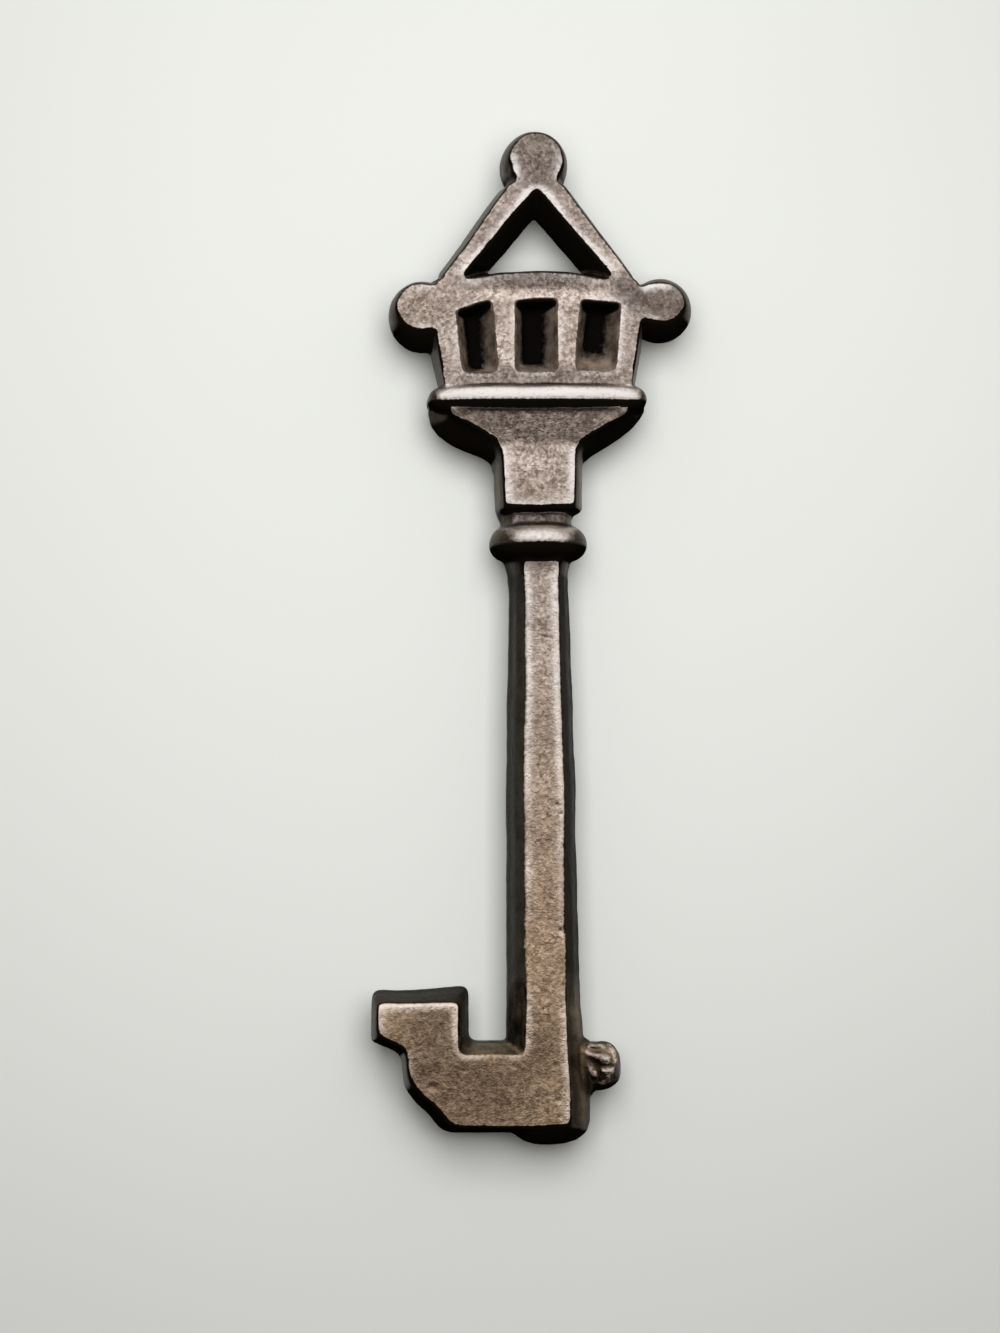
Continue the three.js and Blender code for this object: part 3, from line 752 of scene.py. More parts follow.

# %% [markdown]
# The finish depends on where a spot lies. The key was blackened all over and then rubbed, so the flats and
# the edges came bright again. Light and shade are painted in on top of that: what faces the bit and the
# insides of the windows are kept black as painted shade, and the flanks that face the bow get a brown
# painted sheen. The parts of the key differ, so the table gives each one's lower and upper end, and its left
# and right end where it has them.

# %% Name the regions
WIDE = 1000.0
BIT_END = BIT_TOP + 0.3
CALM_ROUNDS = 10
calm_normals = surface_normals(averaged(points, CALM_ROUNDS))
flat = np.abs(calm_normals[:, 2])
sideways = np.abs(calm_normals[:, 0])
to_bow = calm_normals[:, 1]
height = np.abs(points[:, 2])
across, along = points[:, 0], points[:, 1]
REGIONS = {
    "bit": (-WIDE, BIT_END),
    "head": (HEAD_FOOT, BIT_END, -WIDE, HEAD_RIGHT + 1.5),
    "nub": (TIP + 4.0, TIP + 9.5, 3.5, WIDE),
    "stem": (BIT_END, SHANK_TOP - 1.3),
    "shank seam": (SHANK_TOP - 1.3, SHANK_TOP + 1.3),
    "collar": (-COLLAR_TOP, COLLAR_TOP),
    "neck": (COLLAR_TOP - 0.2, COLLAR_TOP + 1.2),
    "block": (COLLAR_TOP + 1.2, TRAPEZOID_FOOT),
    "above block": (BLOCK_TOP, WIDE),
    "leaning face": (TRAPEZOID_FOOT - 0.3, CAPITAL_TOP + 0.2),
    "under moulding": (CAPITAL_TOP - 0.8, CAPITAL_TOP + 0.2),
    "moulding": (CAPITAL_TOP + 0.15, MOULDING_TOP),
    "cage seam": (MOULDING_TOP - 0.4, MOULDING_TOP + 1.2),
    "bow": (MOULDING_TOP, WIDE),
    "windows": (WINDOW_SILL, WINDOW_HEAD + 0.4, -7.6, 7.6),
    "round windows": (WINDOW_SILL - 0.8, WINDOW_HEAD + 0.9, -8.2, 8.2),
    "right half": (-WIDE, WIDE, 0.0, WIDE),
}


def inside(low, high, left=-WIDE, right=WIDE):
    return (along > low) & (along < high) & (across > left) & (across < right)


on = {name: inside(*place) for name, place in REGIONS.items()}
on["bead"] = on["collar"] | on["moulding"]


def by_region(otherwise, *choices):
    """A value for each point: that of the first region which holds it, or the other value."""
    return np.select([on[name] for name, value in choices], [value for name, value in choices], otherwise)


def spread(values, rounds):
    """One value for each point, averaged over its surroundings."""
    return averaged(values[:, None], rounds)[:, 0]


print("regions", len(on), "on beads", round(float(on["bead"].mean()), 2))

# %% [markdown]
# Rubbing takes the black off whatever is level and high. A surface that leans towards the bit keeps more of
# the black, as painted shade. The beads are bare on the half that faces the bow. Their other half, their ends
# and the top of the moulding stay black as painted shade. The nub is rubbed on whatever stands out. On the
# stem the change is soft, because a thumb runs along it.

# %% Rub the high places, and paint shade on what faces the bit
FACE_LEVEL = (0.86, 0.96)
FACE_HEIGHT = (1.8, 2.4)
SEAM_ROUNDS = 5
STEM_ROUNDS = 8
BEAD_TURN = (-0.25, 0.1)
BEAD_OVER = (0.65, 0.95)
BEAD_END = (0.3, 0.85)
BAND_START = (CAPITAL_TOP + 0.5, CAPITAL_TOP + 1.15)
NUB_LEVEL = (0.45, 0.85)
NUB_RISE = (-0.05, 0.1)

# Painted shade: a surface that leans towards the bit counts as less rubbed and stays darker. Off the bow, one
# that leans towards the bow counts as more rubbed.
facing_with_shade = flat + 0.5 * np.minimum(to_bow, 0) + by_region(0.25, ("bow", 0.0)) * np.maximum(to_bow, 0)
allowance = by_region(
    0.0,
    ("neck", 0.3),
    ("under moulding", 0.3),
    ("shank seam", 0.12),
    ("cage seam", 0.12),
    ("leaning face", 0.12),
)
facing_with_shade += spread(allowance, SEAM_ROUNDS)


def bead_lit_half():
    """How far the collar and the moulding show bare metal, with painted shade on their lower halves and ends.
    """
    shine = smoothstep(*BEAD_TURN, to_bow + by_region(0.0, ("moulding", 0.12)))
    shine *= 1 - 0.85 * smoothstep(*BEAD_OVER, to_bow)
    shine *= 1 - 0.9 * smoothstep(*BEAD_END, sideways)
    return shine * by_region(1.0, ("moulding", smoothstep(*BAND_START, along)))


bead_light_and_shade = bead_lit_half()
nub_rub_with_shade = smoothstep(*NUB_RISE, stand_out) * smoothstep(*NUB_LEVEL, facing_with_shade)
face_rub_with_shade = smoothstep(*FACE_LEVEL, facing_with_shade) * smoothstep(*FACE_HEIGHT, height)
stem_rub_with_shade = spread(face_rub_with_shade, STEM_ROUNDS)
# The wear map: real rubbing of the high places, with painted shade on what faces the bit and on the beads'
# lower halves.
worn = by_region(face_rub_with_shade, ("nub", nub_rub_with_shade), ("bead", bead_light_and_shade), ("stem", stem_rub_with_shade))
print("worn share", round(float((worn > 0.5).mean()), 2))

# %% [markdown]
# An edge is rubbed brightest, in a band of a few tenths of a millimetre, and the band also carries a painted
# highlight. How bright it is varies unevenly, and only partly with handling. The outside of the bow stays
# dark as painted shade while its inner edges take painted highlight. The bit gets little, apart from its
# edges that face the bow. The window edges that face the bit and the edges on the right half are lit brighter
# as painted highlight, and the band grows fainter down the stem. On the beads the band is a painted highlight
# along the crest.

# %% Brighten the edges, with painted highlight
HANDLING_SIZE = 2.2
HANDLING_PLACE = 53.0
HANDLING_REACH = (0.35, 1.3)
EDGE_SHINE = [(-36.0, 0.2), (-29.0, 0.55), (-20.0, 0.8), (-12.0, 0.95)]
EDGE_RISE = (0.006, 0.035)
EDGE_LEVEL = (0.4, 0.75)
EDGE_HEIGHT = (1.8, 2.5)
BAND_ROUNDS = 14
BAND_GAIN = 1.7
RIM_ROUNDS = 40
RIM_TOP_PERCENT = 96


def edge_light_and_handling():
    """How bright each edge is made, about 1 on the stem under the collar: partly handling, partly painted
    highlight.
    """
    outward_way = points[:, :2] - (0.0, EAVES - 1.0)
    outward_way /= np.linalg.norm(outward_way, axis=1, keepdims=True)
    outward = (calm_normals[:, :2] * outward_way).sum(axis=1)
    # Painted highlight: the edges on the right half are lit brighter.
    share = 0.85 + ripple(points + HANDLING_PLACE, HANDLING_SIZE, 0.8) + by_region(0.0, ("right half", 0.25))
    share = np.clip(share, *HANDLING_REACH)
    # Painted highlight on the bit's edges that face the bow.
    on_bit_edge = 0.13 + by_region(0.35, ("head", 0.8)) * smoothstep(-0.3, 0.05, to_bow)
    # Painted shade on the bow's outer edges, so that only its inner edges take the painted highlight.
    round_the_bow = 1 - 0.97 * smoothstep(-0.1, 0.2, outward)
    down_the_stem = np.interp(along, *zip(*EDGE_SHINE))
    return share * by_region(1.0, ("bow", round_the_bow), ("bit", on_bit_edge), ("stem", down_the_stem))


def edge_strength():
    """How far each spot is a rubbed edge that also takes painted highlight."""
    edge = smoothstep(*EDGE_RISE, stand_out) * smoothstep(*EDGE_LEVEL, flat)
    edge *= smoothstep(*EDGE_HEIGHT, height)
    # Painted highlight on the window edges that face the bit.
    window_edge = 0.8 - 0.55 * smoothstep(-0.15, 0.1, to_bow)
    return edge * edge_light_and_handling() * by_region(1.0, ("leaning face", 0.2), ("round windows", window_edge))


edge = edge_strength()
edge_near = spread(edge, RIM_ROUNDS)
edge_near = np.clip(edge_near / np.percentile(edge_near, RIM_TOP_PERCENT), 0, 1)
edge_band = np.clip(spread(edge, BAND_ROUNDS) * BAND_GAIN, 0, 1) * worn
# Painted highlight along the crests of the beads, in the near-white edge colour.
bead_highlight = bead_light_and_shade * smoothstep(0.6, 0.95, flat) * by_region(1.0, ("collar", 0.66))
nub_crest = 0.7 * smoothstep(0.05, 0.13, stand_out) * smoothstep(0.5, 0.85, facing_with_shade)
arris = by_region(edge_band, ("nub", nub_crest), ("bead", bead_highlight))
# Near each edge the material also lays a broad painted glow.
rim = by_region(edge_near, ("bead", 1.0))
print("edge share", round(float((arris > 0.5).mean()), 2))

# %% [markdown]
# The flanks keep a little of the bronze's shine as a painted sheen, most on the walls that face the bow and
# on the right half, apart from the stem. They go black towards the parting line, on the capital and where
# they face the bit, as painted shade. The windows are painted black inside as shade, and dust lies on their
# walls.
# The dust is thicker where the walls face the bow, which is painted light.

# %% Paint sheen and shade on the flanks and in the windows
FLANK_SHEEN_ALONG = [(TIP + 3, 0.3), (TIP + 12, 0.4), (-37.5, 0.06), (-10.0, 0.055), (-3.0, 0.02), (4.0, 0.45)]
WINDOW_DEPTH = (0.7, 2.1)
HEAD_WALL = (0.15, 0.4)


def flank_sheen_and_shade():
    """How much painted sheen the flanks get over the black, and where painted shade keeps them black."""
    # Painted shade: the flanks go black towards the parting line, a dark outline that is partly the parting
    # line itself.
    stem_shine = 0.4 + 0.6 * smoothstep(0.5, 1.6, height)
    shine = by_region(0.15 + 0.85 * smoothstep(0.4, 1.5, height), ("stem", stem_shine))
    shine *= by_region(1 - smoothstep(1.9, 2.7, height), ("stem", 1.0))
    # Painted shade on flanks that face the bit, and on the head of the bit.
    shine *= smoothstep(-0.5, -0.1, to_bow) * by_region(1.0, ("head", 0.2))
    # Painted sheen on the walls that face the bow.
    wall_sheen = by_region(0.5, ("head", 0.07), ("bit", 4.0))
    shine += wall_sheen * np.maximum(to_bow, 0) * smoothstep(0.5, 1.5, height)
    # Painted sheen that changes along the key, with the capital's flanks painted almost black as shade.
    shine *= by_region(np.interp(along, *zip(*FLANK_SHEEN_ALONG)), ("above block", 0.25))
    # Painted light: the right-hand flanks are brighter, and on the stem darker.
    right_side_light = by_region(1.25, ("stem", 0.35))
    shine *= by_region(1.0, ("right half", right_side_light))
    return by_region(shine, ("windows", 0.0), ("bead", 0.3 * smoothstep(-0.2, 0.3, to_bow)))


flank = np.clip(flank_sheen_and_shade(), 0, 1)
# Painted shade: the window heads that face the bit are painted black.
head_wall_shade = smoothstep(*HEAD_WALL, -to_bow)
lit_height = height + 0.5 * smoothstep(0.1, 0.6, -calm_normals[:, 0])
# Painted shade: the web deep in each window is painted black, with the lower walls.
soot = np.maximum(1 - smoothstep(*WINDOW_DEPTH, lit_height), head_wall_shade) * on["windows"]
# Dust on the window walls, laid thicker where they face the bow, which is also painted light.
dust = (1 - worn) * (1 - head_wall_shade) * (0.75 + 0.25 * smoothstep(0.2, 0.6, to_bow)) * on["windows"]
print("sooty share", round(float((soot > 0.5).mean()), 3))

# %% [markdown]
# The metal gets a painted warm tint towards the bit, where the room's light is warmer, and some places are
# duller or brighter than the rest. Some spots are painted shade, on the capital's leaning face, under the
# moulding and in the neck, and one is a painted highlight over the window heads. The others are tone. Each
# spot is a soft ellipse: its middle, its half width and half length, and its change.

# %% Vary the tone, and paint shade and highlight
TONE_AND_SHADE_SPOTS = [
    (0.0, 34.0, 3.6, 3.6, -0.46),
    (11.6, 21.0, 3.0, 3.0, -0.44),
    (8.2, 22.2, 1.8, 1.8, -0.5),
    (0.0, 23.2, 7.5, 1.0, -0.5),
    # Painted highlight over the window heads.
    (0.0, 21.8, 7.5, 0.6, 0.5),
    (-2.85, 18.2, 1.0, 3.2, 0.2),
    (2.6, 18.2, 1.0, 3.2, 0.15),
    (0.0, 27.5, 8.0, 3.0, -0.2),
    # Painted shade on the capital's leaning face, and under the moulding.
    (0.0, 10.9, 7.0, 2.4, -0.3),
    (0.0, 11.8, 12.0, 0.6, -0.6),
    (0.0, 14.2, 8.0, 1.5, -0.42),
    (0.0, -36.0, 4.0, 5.0, 0.1),
    (-9.0, -42.5, 4.0, 4.0, -0.25),
    (-6.0, -46.0, 9.0, 9.0, -0.35),
]
SPOT_EDGE = (0.5, 1.3)
# Painted warm light: how far the warm tint of the room's light is laid on, growing towards the bit.
warmth = by_region(1 - smoothstep(TIP + 4, COLLAR_TOP + 4, along), ("nub", 0.1))
tone = np.ones(len(points))
for spot_x, spot_y, half_width, half_length, change in TONE_AND_SHADE_SPOTS:
    distance = np.hypot((across - spot_x) / half_width, (along - spot_y) / half_length)
    tone *= 1 + change * (1 - smoothstep(*SPOT_EDGE, distance))
# Painted shade in the neck, set back under the block.
tone = by_region(tone, ("neck", 0.45), ("bead", 1.0), ("block", 1.1))
print("tone from", round(float(tone.min()), 2), "to", round(float(tone.max()), 2))

# %% [markdown]
# A finish is a small graph of shader nodes. Made by hand it would be wired up in the shader editor, and here
# each kind of node has a short method, so that a finish can be read as a recipe.

# %% Shader recipe
class Recipe:
    """The nodes that make up a material, or the light of a room."""

    def __init__(self, owner, shader="Principled BSDF"):
        owner.use_nodes = True
        self.owner = owner
        self.nodes = owner.node_tree.nodes
        self.links = owner.node_tree.links
        self.shader = self.nodes[shader]

    def feed(self, socket, value):
        """Sets a socket to a plain value, or links another node's output to it."""
        if isinstance(value, float):
            socket.default_value = value
        elif isinstance(value, tuple):
            socket.default_value = (*value, 1.0)[:len(socket.default_value)]
        else:
            self.links.new(value, socket)

    def node(self, kind, inputs, output, **settings):
        """Adds a node, sets it up and gives one of its outputs."""
        made = self.nodes.new(kind)
        for setting, value in settings.items():
            setattr(made, setting, value)
        for socket, value in inputs.items():
            self.feed(made.inputs[socket], value)
        return made.outputs[output]

    def place(self, kind):
        return self.node("ShaderNodeTexCoord", {}, kind)

    def cloud(self, scale, detail):
        inputs = {"Vector": self.place("Object"), "Scale": scale, "Detail": detail, "Roughness": 0.6}
        return self.node("ShaderNodeTexNoise", inputs, "Fac")

    def cells(self, scale):
        inputs = {"Vector": self.place("Object"), "Scale": scale, "Smoothness": 0.4}
        return self.node("ShaderNodeTexVoronoi", inputs, "Color", feature="SMOOTH_F1")

    def wear(self, attribute):
        return self.node("ShaderNodeAttribute", {}, "Fac", attribute_name=attribute)

    def maths(self, operation, first, second):
        return self.node("ShaderNodeMath", {0: first, 1: second}, 0, operation=operation)

    def plus(self, first, second):
        return self.maths("ADD", first, second)

    def minus(self, first, second):
        return self.maths("SUBTRACT", first, second)

    def times(self, first, second):
        return self.maths("MULTIPLY", first, second)

    def filtered(self, first, second):
        """One colour seen through another."""
        return self.node("ShaderNodeVectorMath", {0: first, 1: second}, 0, operation="MULTIPLY")

    def scaled(self, colour, share):
        return self.node("ShaderNodeVectorMath", {0: colour, "Scale": share}, 0, operation="SCALE")

    def blend(self, share, first, second):
        return self.node("ShaderNodeMix", {0: share, 6: first, 7: second}, 2, data_type="RGBA")

    def ramp(self, value, *stops):
        """Runs through colours, or greys where a stop has one number."""
        made = self.nodes.new("ShaderNodeValToRGB")
        colours = made.color_ramp
        while len(colours.elements) < len(stops):
            colours.elements.new(0.5)
        for element, (position, colour) in zip(colours.elements, stops):
            element.position = position
            element.color = (*colour, 1.0) if isinstance(colour, tuple) else (colour, colour, colour, 1.0)
        self.links.new(value, made.inputs["Fac"])
        return made.outputs["Color"]

    def shade(self, socket, value):
        self.feed(self.shader.inputs[socket], value)


def brightened(colour, share):
    return tuple(part * share for part in colour)


# %% [markdown]
# Rubbed bronze isn't one colour. Dark grains sit in it, fewer near an edge, reddish patches lie over it, and
# a painted warm tint lies over it towards the bit. The edges are nearly white, with small breaks: rubbed
# metal with a painted highlight, and a broad painted glow beside them.

# %% Colours of the rubbed metal
WHITE = (1.0, 1.0, 1.0)
BLACK = (0.002, 0.0015, 0.001)
# The black of the painted shade in the windows.
SHADE_CORE_BLACK = (0.0015, 0.0012, 0.001)
# Colours of the painted sheen on the flanks.
FLANK_SHEEN_DARK = (0.09, 0.063, 0.038)
FLANK_SHEEN_LIGHT = (0.31, 0.232, 0.15)
DUST_DARK = (0.025, 0.018, 0.013)
DUST_LIGHT = (0.1, 0.076, 0.06)
RED_TINT = (0.2, 0.13, 0.1)
DARK_GRAIN = (0.42, 0.37, 0.32)
# Filters of the painted warm light towards the bit.
WARM_LIGHT_FACE = (1.0, 0.86, 0.66)
WARM_LIGHT_CREST = (1.0, 0.93, 0.84)
GRAIN_SCALE = 2700.0
CELL_SCALE = 4200.0
BLOTCH_SCALE = 700.0
TINT_SCALE = 130.0
FINE_SCALE = 6500.0
BUMP_DEPTH = 0.08 * MM
BLACK_ROUGHNESS = 0.42
METAL_ROUGHNESS = 0.36


def bare_metal(recipe, grain, blotch, rubbed, speck_share):
    """Rubbed metal with dark grains and reddish patches, calmer near an edge."""
    mix = recipe.plus(recipe.times(grain, 0.65), recipe.times(blotch, 0.35))
    dark = tuple(part * share for part, share in zip(rubbed, DARK_GRAIN))
    metal = recipe.ramp(mix, (0.38, dark), (0.5, brightened(rubbed, 0.92)), (0.62, brightened(rubbed, 1.55)))
    red_share = recipe.ramp(recipe.cloud(TINT_SCALE, 2.0), (0.4, 0.0), (0.65, 0.35))
    edge_calm = recipe.times(recipe.wear("rim"), speck_share)
    warm_calm = recipe.times(recipe.wear("warmth"), 0.2)
    return recipe.blend(recipe.plus(edge_calm, warm_calm), recipe.blend(red_share, metal, RED_TINT), rubbed)


def edged_metal(recipe, metal, speckle, edge_highlight):
    """Rubbed metal with its tone and painted shade, its bright edges with painted highlight and glow, and
    painted warm light towards the bit.
    """
    toned = recipe.scaled(metal, recipe.wear("tone"))
    # Painted glow near the edges, towards the highlight colour.
    glow = recipe.blend(recipe.times(recipe.wear("rim"), 0.2), toned, edge_highlight)
    face = recipe.filtered(glow, recipe.blend(recipe.wear("warmth"), WHITE, WARM_LIGHT_FACE))
    crest = recipe.filtered(recipe.blend(recipe.wear("warmth"), WHITE, WARM_LIGHT_CREST), edge_highlight)
    breaks = recipe.times(speckle, recipe.times(recipe.wear("arris"), 2.0))
    edge_share = recipe.ramp(recipe.plus(recipe.wear("arris"), breaks), (0.15, 0.0), (0.85, 1.0))
    return recipe.blend(edge_share, face, crest)


print("grain", round(1 / (GRAIN_SCALE * MM), 2), "mm")

# %% [markdown]
# Two finishes share one recipe. Blackened bronze lies underneath, rubbed bronze comes through where the
# wear map says, and its border is broken up by noise so that it never looks masked. The wear map carries
# painted shade as well as wear, the flanks take a painted sheen, and the windows get a painted black core.
# Their dust is laid thicker where painted light falls. Small bumps scatter the light. Because metal takes its
# look from what it reflects, the roughness varies along with the colour. Where the black is whole, the
# surface isn't metal.

# %% Bronze
def rub_through(recipe, speckle):
    """How far the rubbed metal shows, with a ragged border. Painted shade in the wear map holds it back."""
    raggedness = recipe.minus(1.0, recipe.times(recipe.wear("rim"), 0.6))
    ragged = recipe.plus(recipe.wear("worn"), recipe.times(speckle, raggedness))
    return recipe.ramp(ragged, (0.3, 0.0), (0.75, 1.0))


def shaded_window_core(recipe, speckle):
    """How far the painted shade in the windows covers what lies under it."""
    ragged = recipe.plus(recipe.wear("soot"), recipe.times(speckle, 0.9))
    held = recipe.maths("MINIMUM", ragged, recipe.times(recipe.wear("soot"), 4.0))
    return recipe.ramp(held, (0.1, 0.0), (0.8, 1.0))


def bronze(name, rubbed, edge_highlight, speck_share):
    recipe = Recipe(bpy.data.materials.new(name))
    grain = recipe.plus(
        recipe.times(recipe.cloud(GRAIN_SCALE, 2.0), 0.65),
        recipe.times(recipe.cells(CELL_SCALE), 0.35),
    )
    blotch = recipe.cloud(BLOTCH_SCALE, 4.0)
    speckle = recipe.minus(grain, 0.5)
    rub = rub_through(recipe, speckle)
    core_shade = shaded_window_core(recipe, speckle)

    # The painted sheen of the flanks, olive over the black patina.
    sheen_olive = recipe.ramp(blotch, (0.35, FLANK_SHEEN_DARK), (0.68, FLANK_SHEEN_LIGHT))
    patina_and_sheen = recipe.blend(recipe.wear("flank"), BLACK, sheen_olive)
    metal = edged_metal(recipe, bare_metal(recipe, grain, blotch, rubbed, speck_share), speckle, edge_highlight)
    brown = recipe.ramp(blotch, (0.35, DUST_DARK), (0.65, DUST_LIGHT))
    dusted = recipe.blend(recipe.wear("dust"), recipe.blend(rub, patina_and_sheen, metal), brown)
    recipe.shade("Base Color", recipe.blend(core_shade, dusted, SHADE_CORE_BLACK))

    polish = recipe.ramp(rub, (0.0, BLACK_ROUGHNESS), (1.0, METAL_ROUGHNESS))
    uneven = recipe.plus(polish, recipe.times(recipe.minus(blotch, 0.5), 0.3))
    recipe.shade("Roughness", recipe.maths("MAXIMUM", uneven, recipe.times(recipe.wear("dust"), 0.8)))

    bare = recipe.maths("MINIMUM", recipe.plus(rub, recipe.times(recipe.wear("flank"), 6.0)), 1.0)
    # Black patina, or the painted shade in the windows: neither is metal.
    patina_or_shade = recipe.maths("MAXIMUM", recipe.minus(1.0, bare), core_shade)
    recipe.shade("Metallic", recipe.minus(1.0, recipe.maths("MAXIMUM", recipe.wear("dust"), patina_or_shade)))
    recipe.shade("Specular IOR Level", recipe.times(recipe.minus(1.0, patina_or_shade), 0.5))

    relief = recipe.plus(grain, recipe.cloud(FINE_SCALE, 2.0))
    bump = {"Strength": 0.5, "Distance": BUMP_DEPTH, "Height": relief}
    recipe.shade("Normal", recipe.node("ShaderNodeBump", bump, "Normal"))
    return recipe.owner


# The last colour of each finish is that of the painted highlight on its edges.
FINISHES = {
    "bronze_body": bronze("antiqued_bronze", (0.6, 0.505, 0.45), (1.0, 0.92, 0.88), 0.6),
    "bronze_trim": bronze("rubbed_bronze", (0.55, 0.455, 0.395), (0.96, 0.9, 0.87), 0.9),
}
print("finishes", sorted(FINISHES))

# %% [markdown]
# The one skin is now parted along the seats of the real pieces, so that each CAD solid has its own piece.
# Parting face by face leaves neighbours that share their border exactly, so no seam shows. A face goes to
# the first piece in the list that claims it.

# %% Part the skin
KNOB_FOOT = MOULDING_TOP + 3.2
RAFTER_SEAM = RAFTER_FOOT_INNER - 0.6
CROWN_SEAM = EAVES + 1.45
FLAG_SEAM = BIT_TOP - 4.55
FLAG_SIDE = -1.8
HEAD_SIDE = -5.0
HEAD_END = -30.0
TENON_SIDE = 3.3
TENON_REACH = (-48.5, -43.2)
middles = points[quads].mean(axis=1)
x, y = middles[:, 0], middles[:, 1]
on_crown = y > CROWN_SEAM
flag = (x < FLAG_SIDE) & (y < FLAG_SEAM)
head = (x < HEAD_SIDE) & (y < HEAD_END)
tenon = (x > TENON_SIDE) & (y > TENON_REACH[0]) & (y < TENON_REACH[1])
PIECES = [
    ("eave_knob_left", (x < -CAGE_SIDE) & (y > KNOB_FOOT)),
    ("eave_knob_right", (x > CAGE_SIDE) & (y > KNOB_FOOT)),
    ("apex_knob", y > APEX),
    ("rafter_left", (y > EAVES) & ((x < -RAFTER_SEAM) | ((x < 0) & on_crown))),
    ("rafter_right", (y > EAVES) & ((x > RAFTER_SEAM) | ((x >= 0) & on_crown))),
    ("lantern_cage", y > MOULDING_TOP),
    ("moulding", y > CAPITAL_TOP),
    ("capital", y > BLOCK_TOP),
    ("neck_block", y > COLLAR_TOP),
    ("collar", y > SHANK_TOP),
    ("bit", flag | head | tenon),
    ("shank", y < WIDE),
]
labels = np.full(len(quads), -1)
for i, (name, claimed) in enumerate(PIECES):
    labels[(labels < 0) & claimed] = i
print("faces in each piece", np.bincount(labels).tolist())

# %% [markdown]
# Each opening that the parting leaves is closed with a cap, and the normals of the whole skin are kept, so
# that the shading runs on across a seam. The wear goes along as attributes of the points.

# %% Make the pieces
def open_borders(faces):
    """The closed loops of edges that have a face on one side only."""
    sides = np.concatenate([faces[:, [k, (k + 1) % 4]] for k in range(4)])
    keys = np.sort(sides, axis=1)
    order = np.lexsort((keys[:, 1], keys[:, 0]))
    keys, sides = keys[order], sides[order]
    same = (keys[1:] == keys[:-1]).all(axis=1)
    paired = np.zeros(len(keys), dtype=bool)
    paired[1:] |= same
    paired[:-1] |= same
    following = {}
    for start, end in sides[~paired]:
        following.setdefault(int(end), []).append(int(start))
    loops = []
    while following:
        first = next(iter(following))
        loop = [first]
        while True:
            choices = following[loop[-1]]
            onward = choices.pop()
            if not choices:
                del following[loop[-1]]
            if onward == first:
                break
            loop.append(onward)
        loops.append(loop)
    return loops


SLOTS = {entry["node"]: entry["material_slot"] for entry in record["subparts"]}
WEAR = {
    "worn": worn,
    "arris": arris,
    "rim": rim,
    "soot": soot,
    "dust": dust,
    "flank": flank,
    "warmth": warmth,
    "tone": tone,
}
skin_normals = surface_normals(points)
places = points * MM + np.array(KEY_CENTRE)


def make_piece(name, faces):
    """One piece of the skin, capped, finished and tied to its CAD solid."""
    loops = open_borders(faces)
    used, local = np.unique(faces, return_inverse=True)
    renumber = {int(old): new for new, old in enumerate(used)}
    polygons = local.reshape(-1, 4).tolist() + [[renumber[i] for i in loop] for loop in loops]
    mesh = bpy.data.meshes.new(name)
    mesh.from_pydata(places[used].tolist(), [], polygons)
    mesh.update()
    for polygon in mesh.polygons:
        polygon.use_smooth = polygon.index < len(faces)
    corner_normals = skin_normals[used][local.ravel()].tolist()
    for polygon in mesh.polygons[len(faces):]:
        corner_normals.extend([tuple(polygon.normal)] * polygon.loop_total)
    mesh.normals_split_custom_set(corner_normals)
    for label, values in WEAR.items():
        attribute = mesh.attributes.new(label, "FLOAT", "POINT")
        attribute.data.foreach_set("value", values[used].astype(np.float32))
    mesh.materials.append(FINISHES[SLOTS[name]])
    piece = bpy.data.objects.new("cast_" + name, mesh)
    bpy.context.scene.collection.objects.link(piece)
    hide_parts(name)
    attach(piece, "root")
    print(name, len(faces), "faces,", len(loops), "caps")


for i, (name, claimed) in enumerate(PIECES):
    make_piece(name, quads[labels == i])

# %% [markdown]
# The table is plain and pale, with a faint mottle so that it doesn't look like paper cut by a machine.

# %% Table
TABLE_SIZE = 4.0
TABLE_DARK = (0.33, 0.335, 0.32)
TABLE_LIGHT = (0.345, 0.35, 0.335)
TABLE_ROUGHNESS = 0.9
MOTTLE_SCALE = 60.0
bpy.ops.mesh.primitive_plane_add(size=TABLE_SIZE, location=(0, 0, 0))
table = bpy.context.object
table.name = "table"
pale = Recipe(bpy.data.materials.new("pale_table"))
mottle = pale.node("ShaderNodeTexNoise", {"Scale": MOTTLE_SCALE, "Detail": 2.0}, "Fac")
pale.shade("Base Color", pale.ramp(mottle, (0.0, TABLE_DARK), (1.0, TABLE_LIGHT)))
pale.shade("Roughness", TABLE_ROUGHNESS)
table.data.materials.append(pale.owner)
print("table", TABLE_SIZE, "m wide")

# %% [markdown]
# The metal takes its look from the room that it reflects, so the room is painted round the scene: a bright
# ceiling that runs on beyond the bow, and dark walls low down and on the viewer's side. That is what makes
# the upper half of each bead shine. The lower half is also painted black in the wear map, as painted shade.
# The table is matt, so it takes its light from one soft box over the bow instead. The metal doesn't reflect
# the box, which would glare in the flats.

# %% Light
ROOM = (0.045, 0.036, 0.028)
DUSK = (0.5, 0.435, 0.37)
CEILING = WHITE
SHADE_EDGE = (-0.34, 0.12)
SKYLINE = (-0.05, 0.5)
room = Recipe(bpy.data.worlds.new("room_light"), "Background")
way = room.nodes.new("ShaderNodeSeparateXYZ")
room.feed(way.inputs["Vector"], room.place("Generated"))


def ease(part, reach_from_to):
    """Runs softly from 0 to 1 while one part of the direction crosses the given reach."""
    inputs = {"Value": way.outputs[part], "From Min": reach_from_to[0], "From Max": reach_from_to[1]}
    return room.node("ShaderNodeMapRange", inputs, "Result", interpolation_type="SMOOTHSTEP")


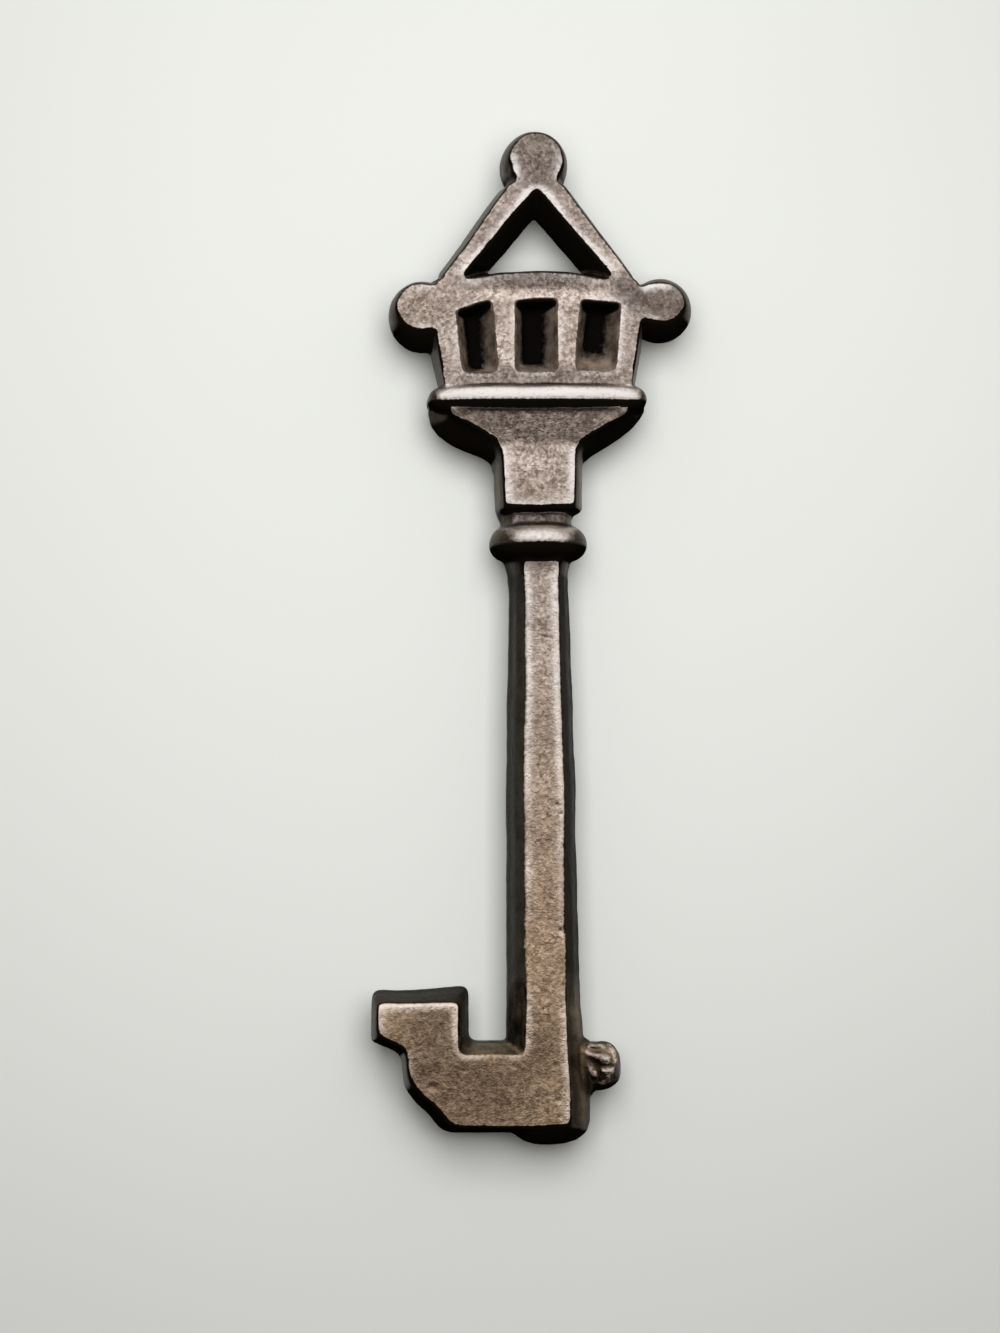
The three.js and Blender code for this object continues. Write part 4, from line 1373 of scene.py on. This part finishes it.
lit = room.times(ease("Y", SHADE_EDGE), ease("Z", SKYLINE))
room.shade("Color", room.ramp(lit, (0.0, ROOM), (0.5, DUSK), (1.0, CEILING)))
room.shade("Strength", 1.0)
bpy.context.scene.world = room.owner

SOFT_BOX_SIZE = (0.12, 0.14)
SOFT_BOX_PLACE = (-0.004, 0.042, 0.165)
SOFT_BOX_POWER = 0.665
soft_box = bpy.data.lights.new("soft_box", "AREA")
soft_box.shape = "RECTANGLE"
soft_box.size, soft_box.size_y = SOFT_BOX_SIZE
soft_box.energy = SOFT_BOX_POWER
lamp = bpy.data.objects.new("soft_box", soft_box)
bpy.context.scene.collection.objects.link(lamp)
lamp.location = SOFT_BOX_PLACE
lamp.visible_camera = False
lamp.visible_glossy = False
bpy.context.scene.view_settings.view_transform = "Standard"
print("soft box at", [round(part / MM) for part in SOFT_BOX_PLACE], "mm")

# %% [markdown]
# The photograph was taken by hand from about twice the key's length, almost straight down. The point of
# the picture that lies right under the lens, the knob at the top and the foot of the bit fix how the camera
# is turned: each is a ray through the lens. The collar's ray, its place in the solids and the given height
# set where the camera stands.

# %% Camera
FRAME_WIDTH = 1000
FRAME_HEIGHT = 1333
FOCAL_PIXELS = 2464.0
NADIR_PIXEL = (330.0, 815.0)
APEX_PIXEL = (535.5, 167.0)
FOOT_PIXEL = (546.0, 1060.0)
COLLAR_PIXEL = (540.5, 541.5)
CAMERA_HEIGHT = 214.0 * MM


def pixel_ray(pixel):
    right = (pixel[0] - FRAME_WIDTH / 2) / FOCAL_PIXELS
    down = (pixel[1] - FRAME_HEIGHT / 2) / FOCAL_PIXELS
    return Vector((right, down, 1.0))


straight_down = pixel_ray(NADIR_PIXEL).normalized()
to_apex = pixel_ray(APEX_PIXEL)
to_foot = pixel_ray(FOOT_PIXEL)
key_line = to_apex / to_apex.dot(straight_down) - to_foot / to_foot.dot(straight_down)
key_up = key_line.normalized()
key_right = key_up.cross(-straight_down)
to_world = Matrix((key_right, key_up, -straight_down))
collar_ray = to_world @ pixel_ray(COLLAR_PIXEL)
collar_offset = collar_ray * (CAMERA_HEIGHT / -collar_ray.z)
collar_face = KEY_CENTRE + Vector((0, 0, HALF * MM))
camera_data = bpy.data.cameras.new("camera")
camera_data.sensor_fit = "VERTICAL"
camera_data.sensor_height = 36.0
camera_data.lens = FOCAL_PIXELS / FRAME_HEIGHT * camera_data.sensor_height
camera_data.clip_start = 0.001
camera = bpy.data.objects.new("camera", camera_data)
bpy.context.scene.collection.objects.link(camera)
turn = to_world @ Matrix.Diagonal((1.0, -1.0, -1.0))
camera.matrix_world = Matrix.Translation(collar_face - collar_offset) @ turn.to_4x4()
bpy.context.scene.camera = camera
print("camera at", tuple(round(c * 1000, 1) for c in camera.matrix_world.translation), "mm")
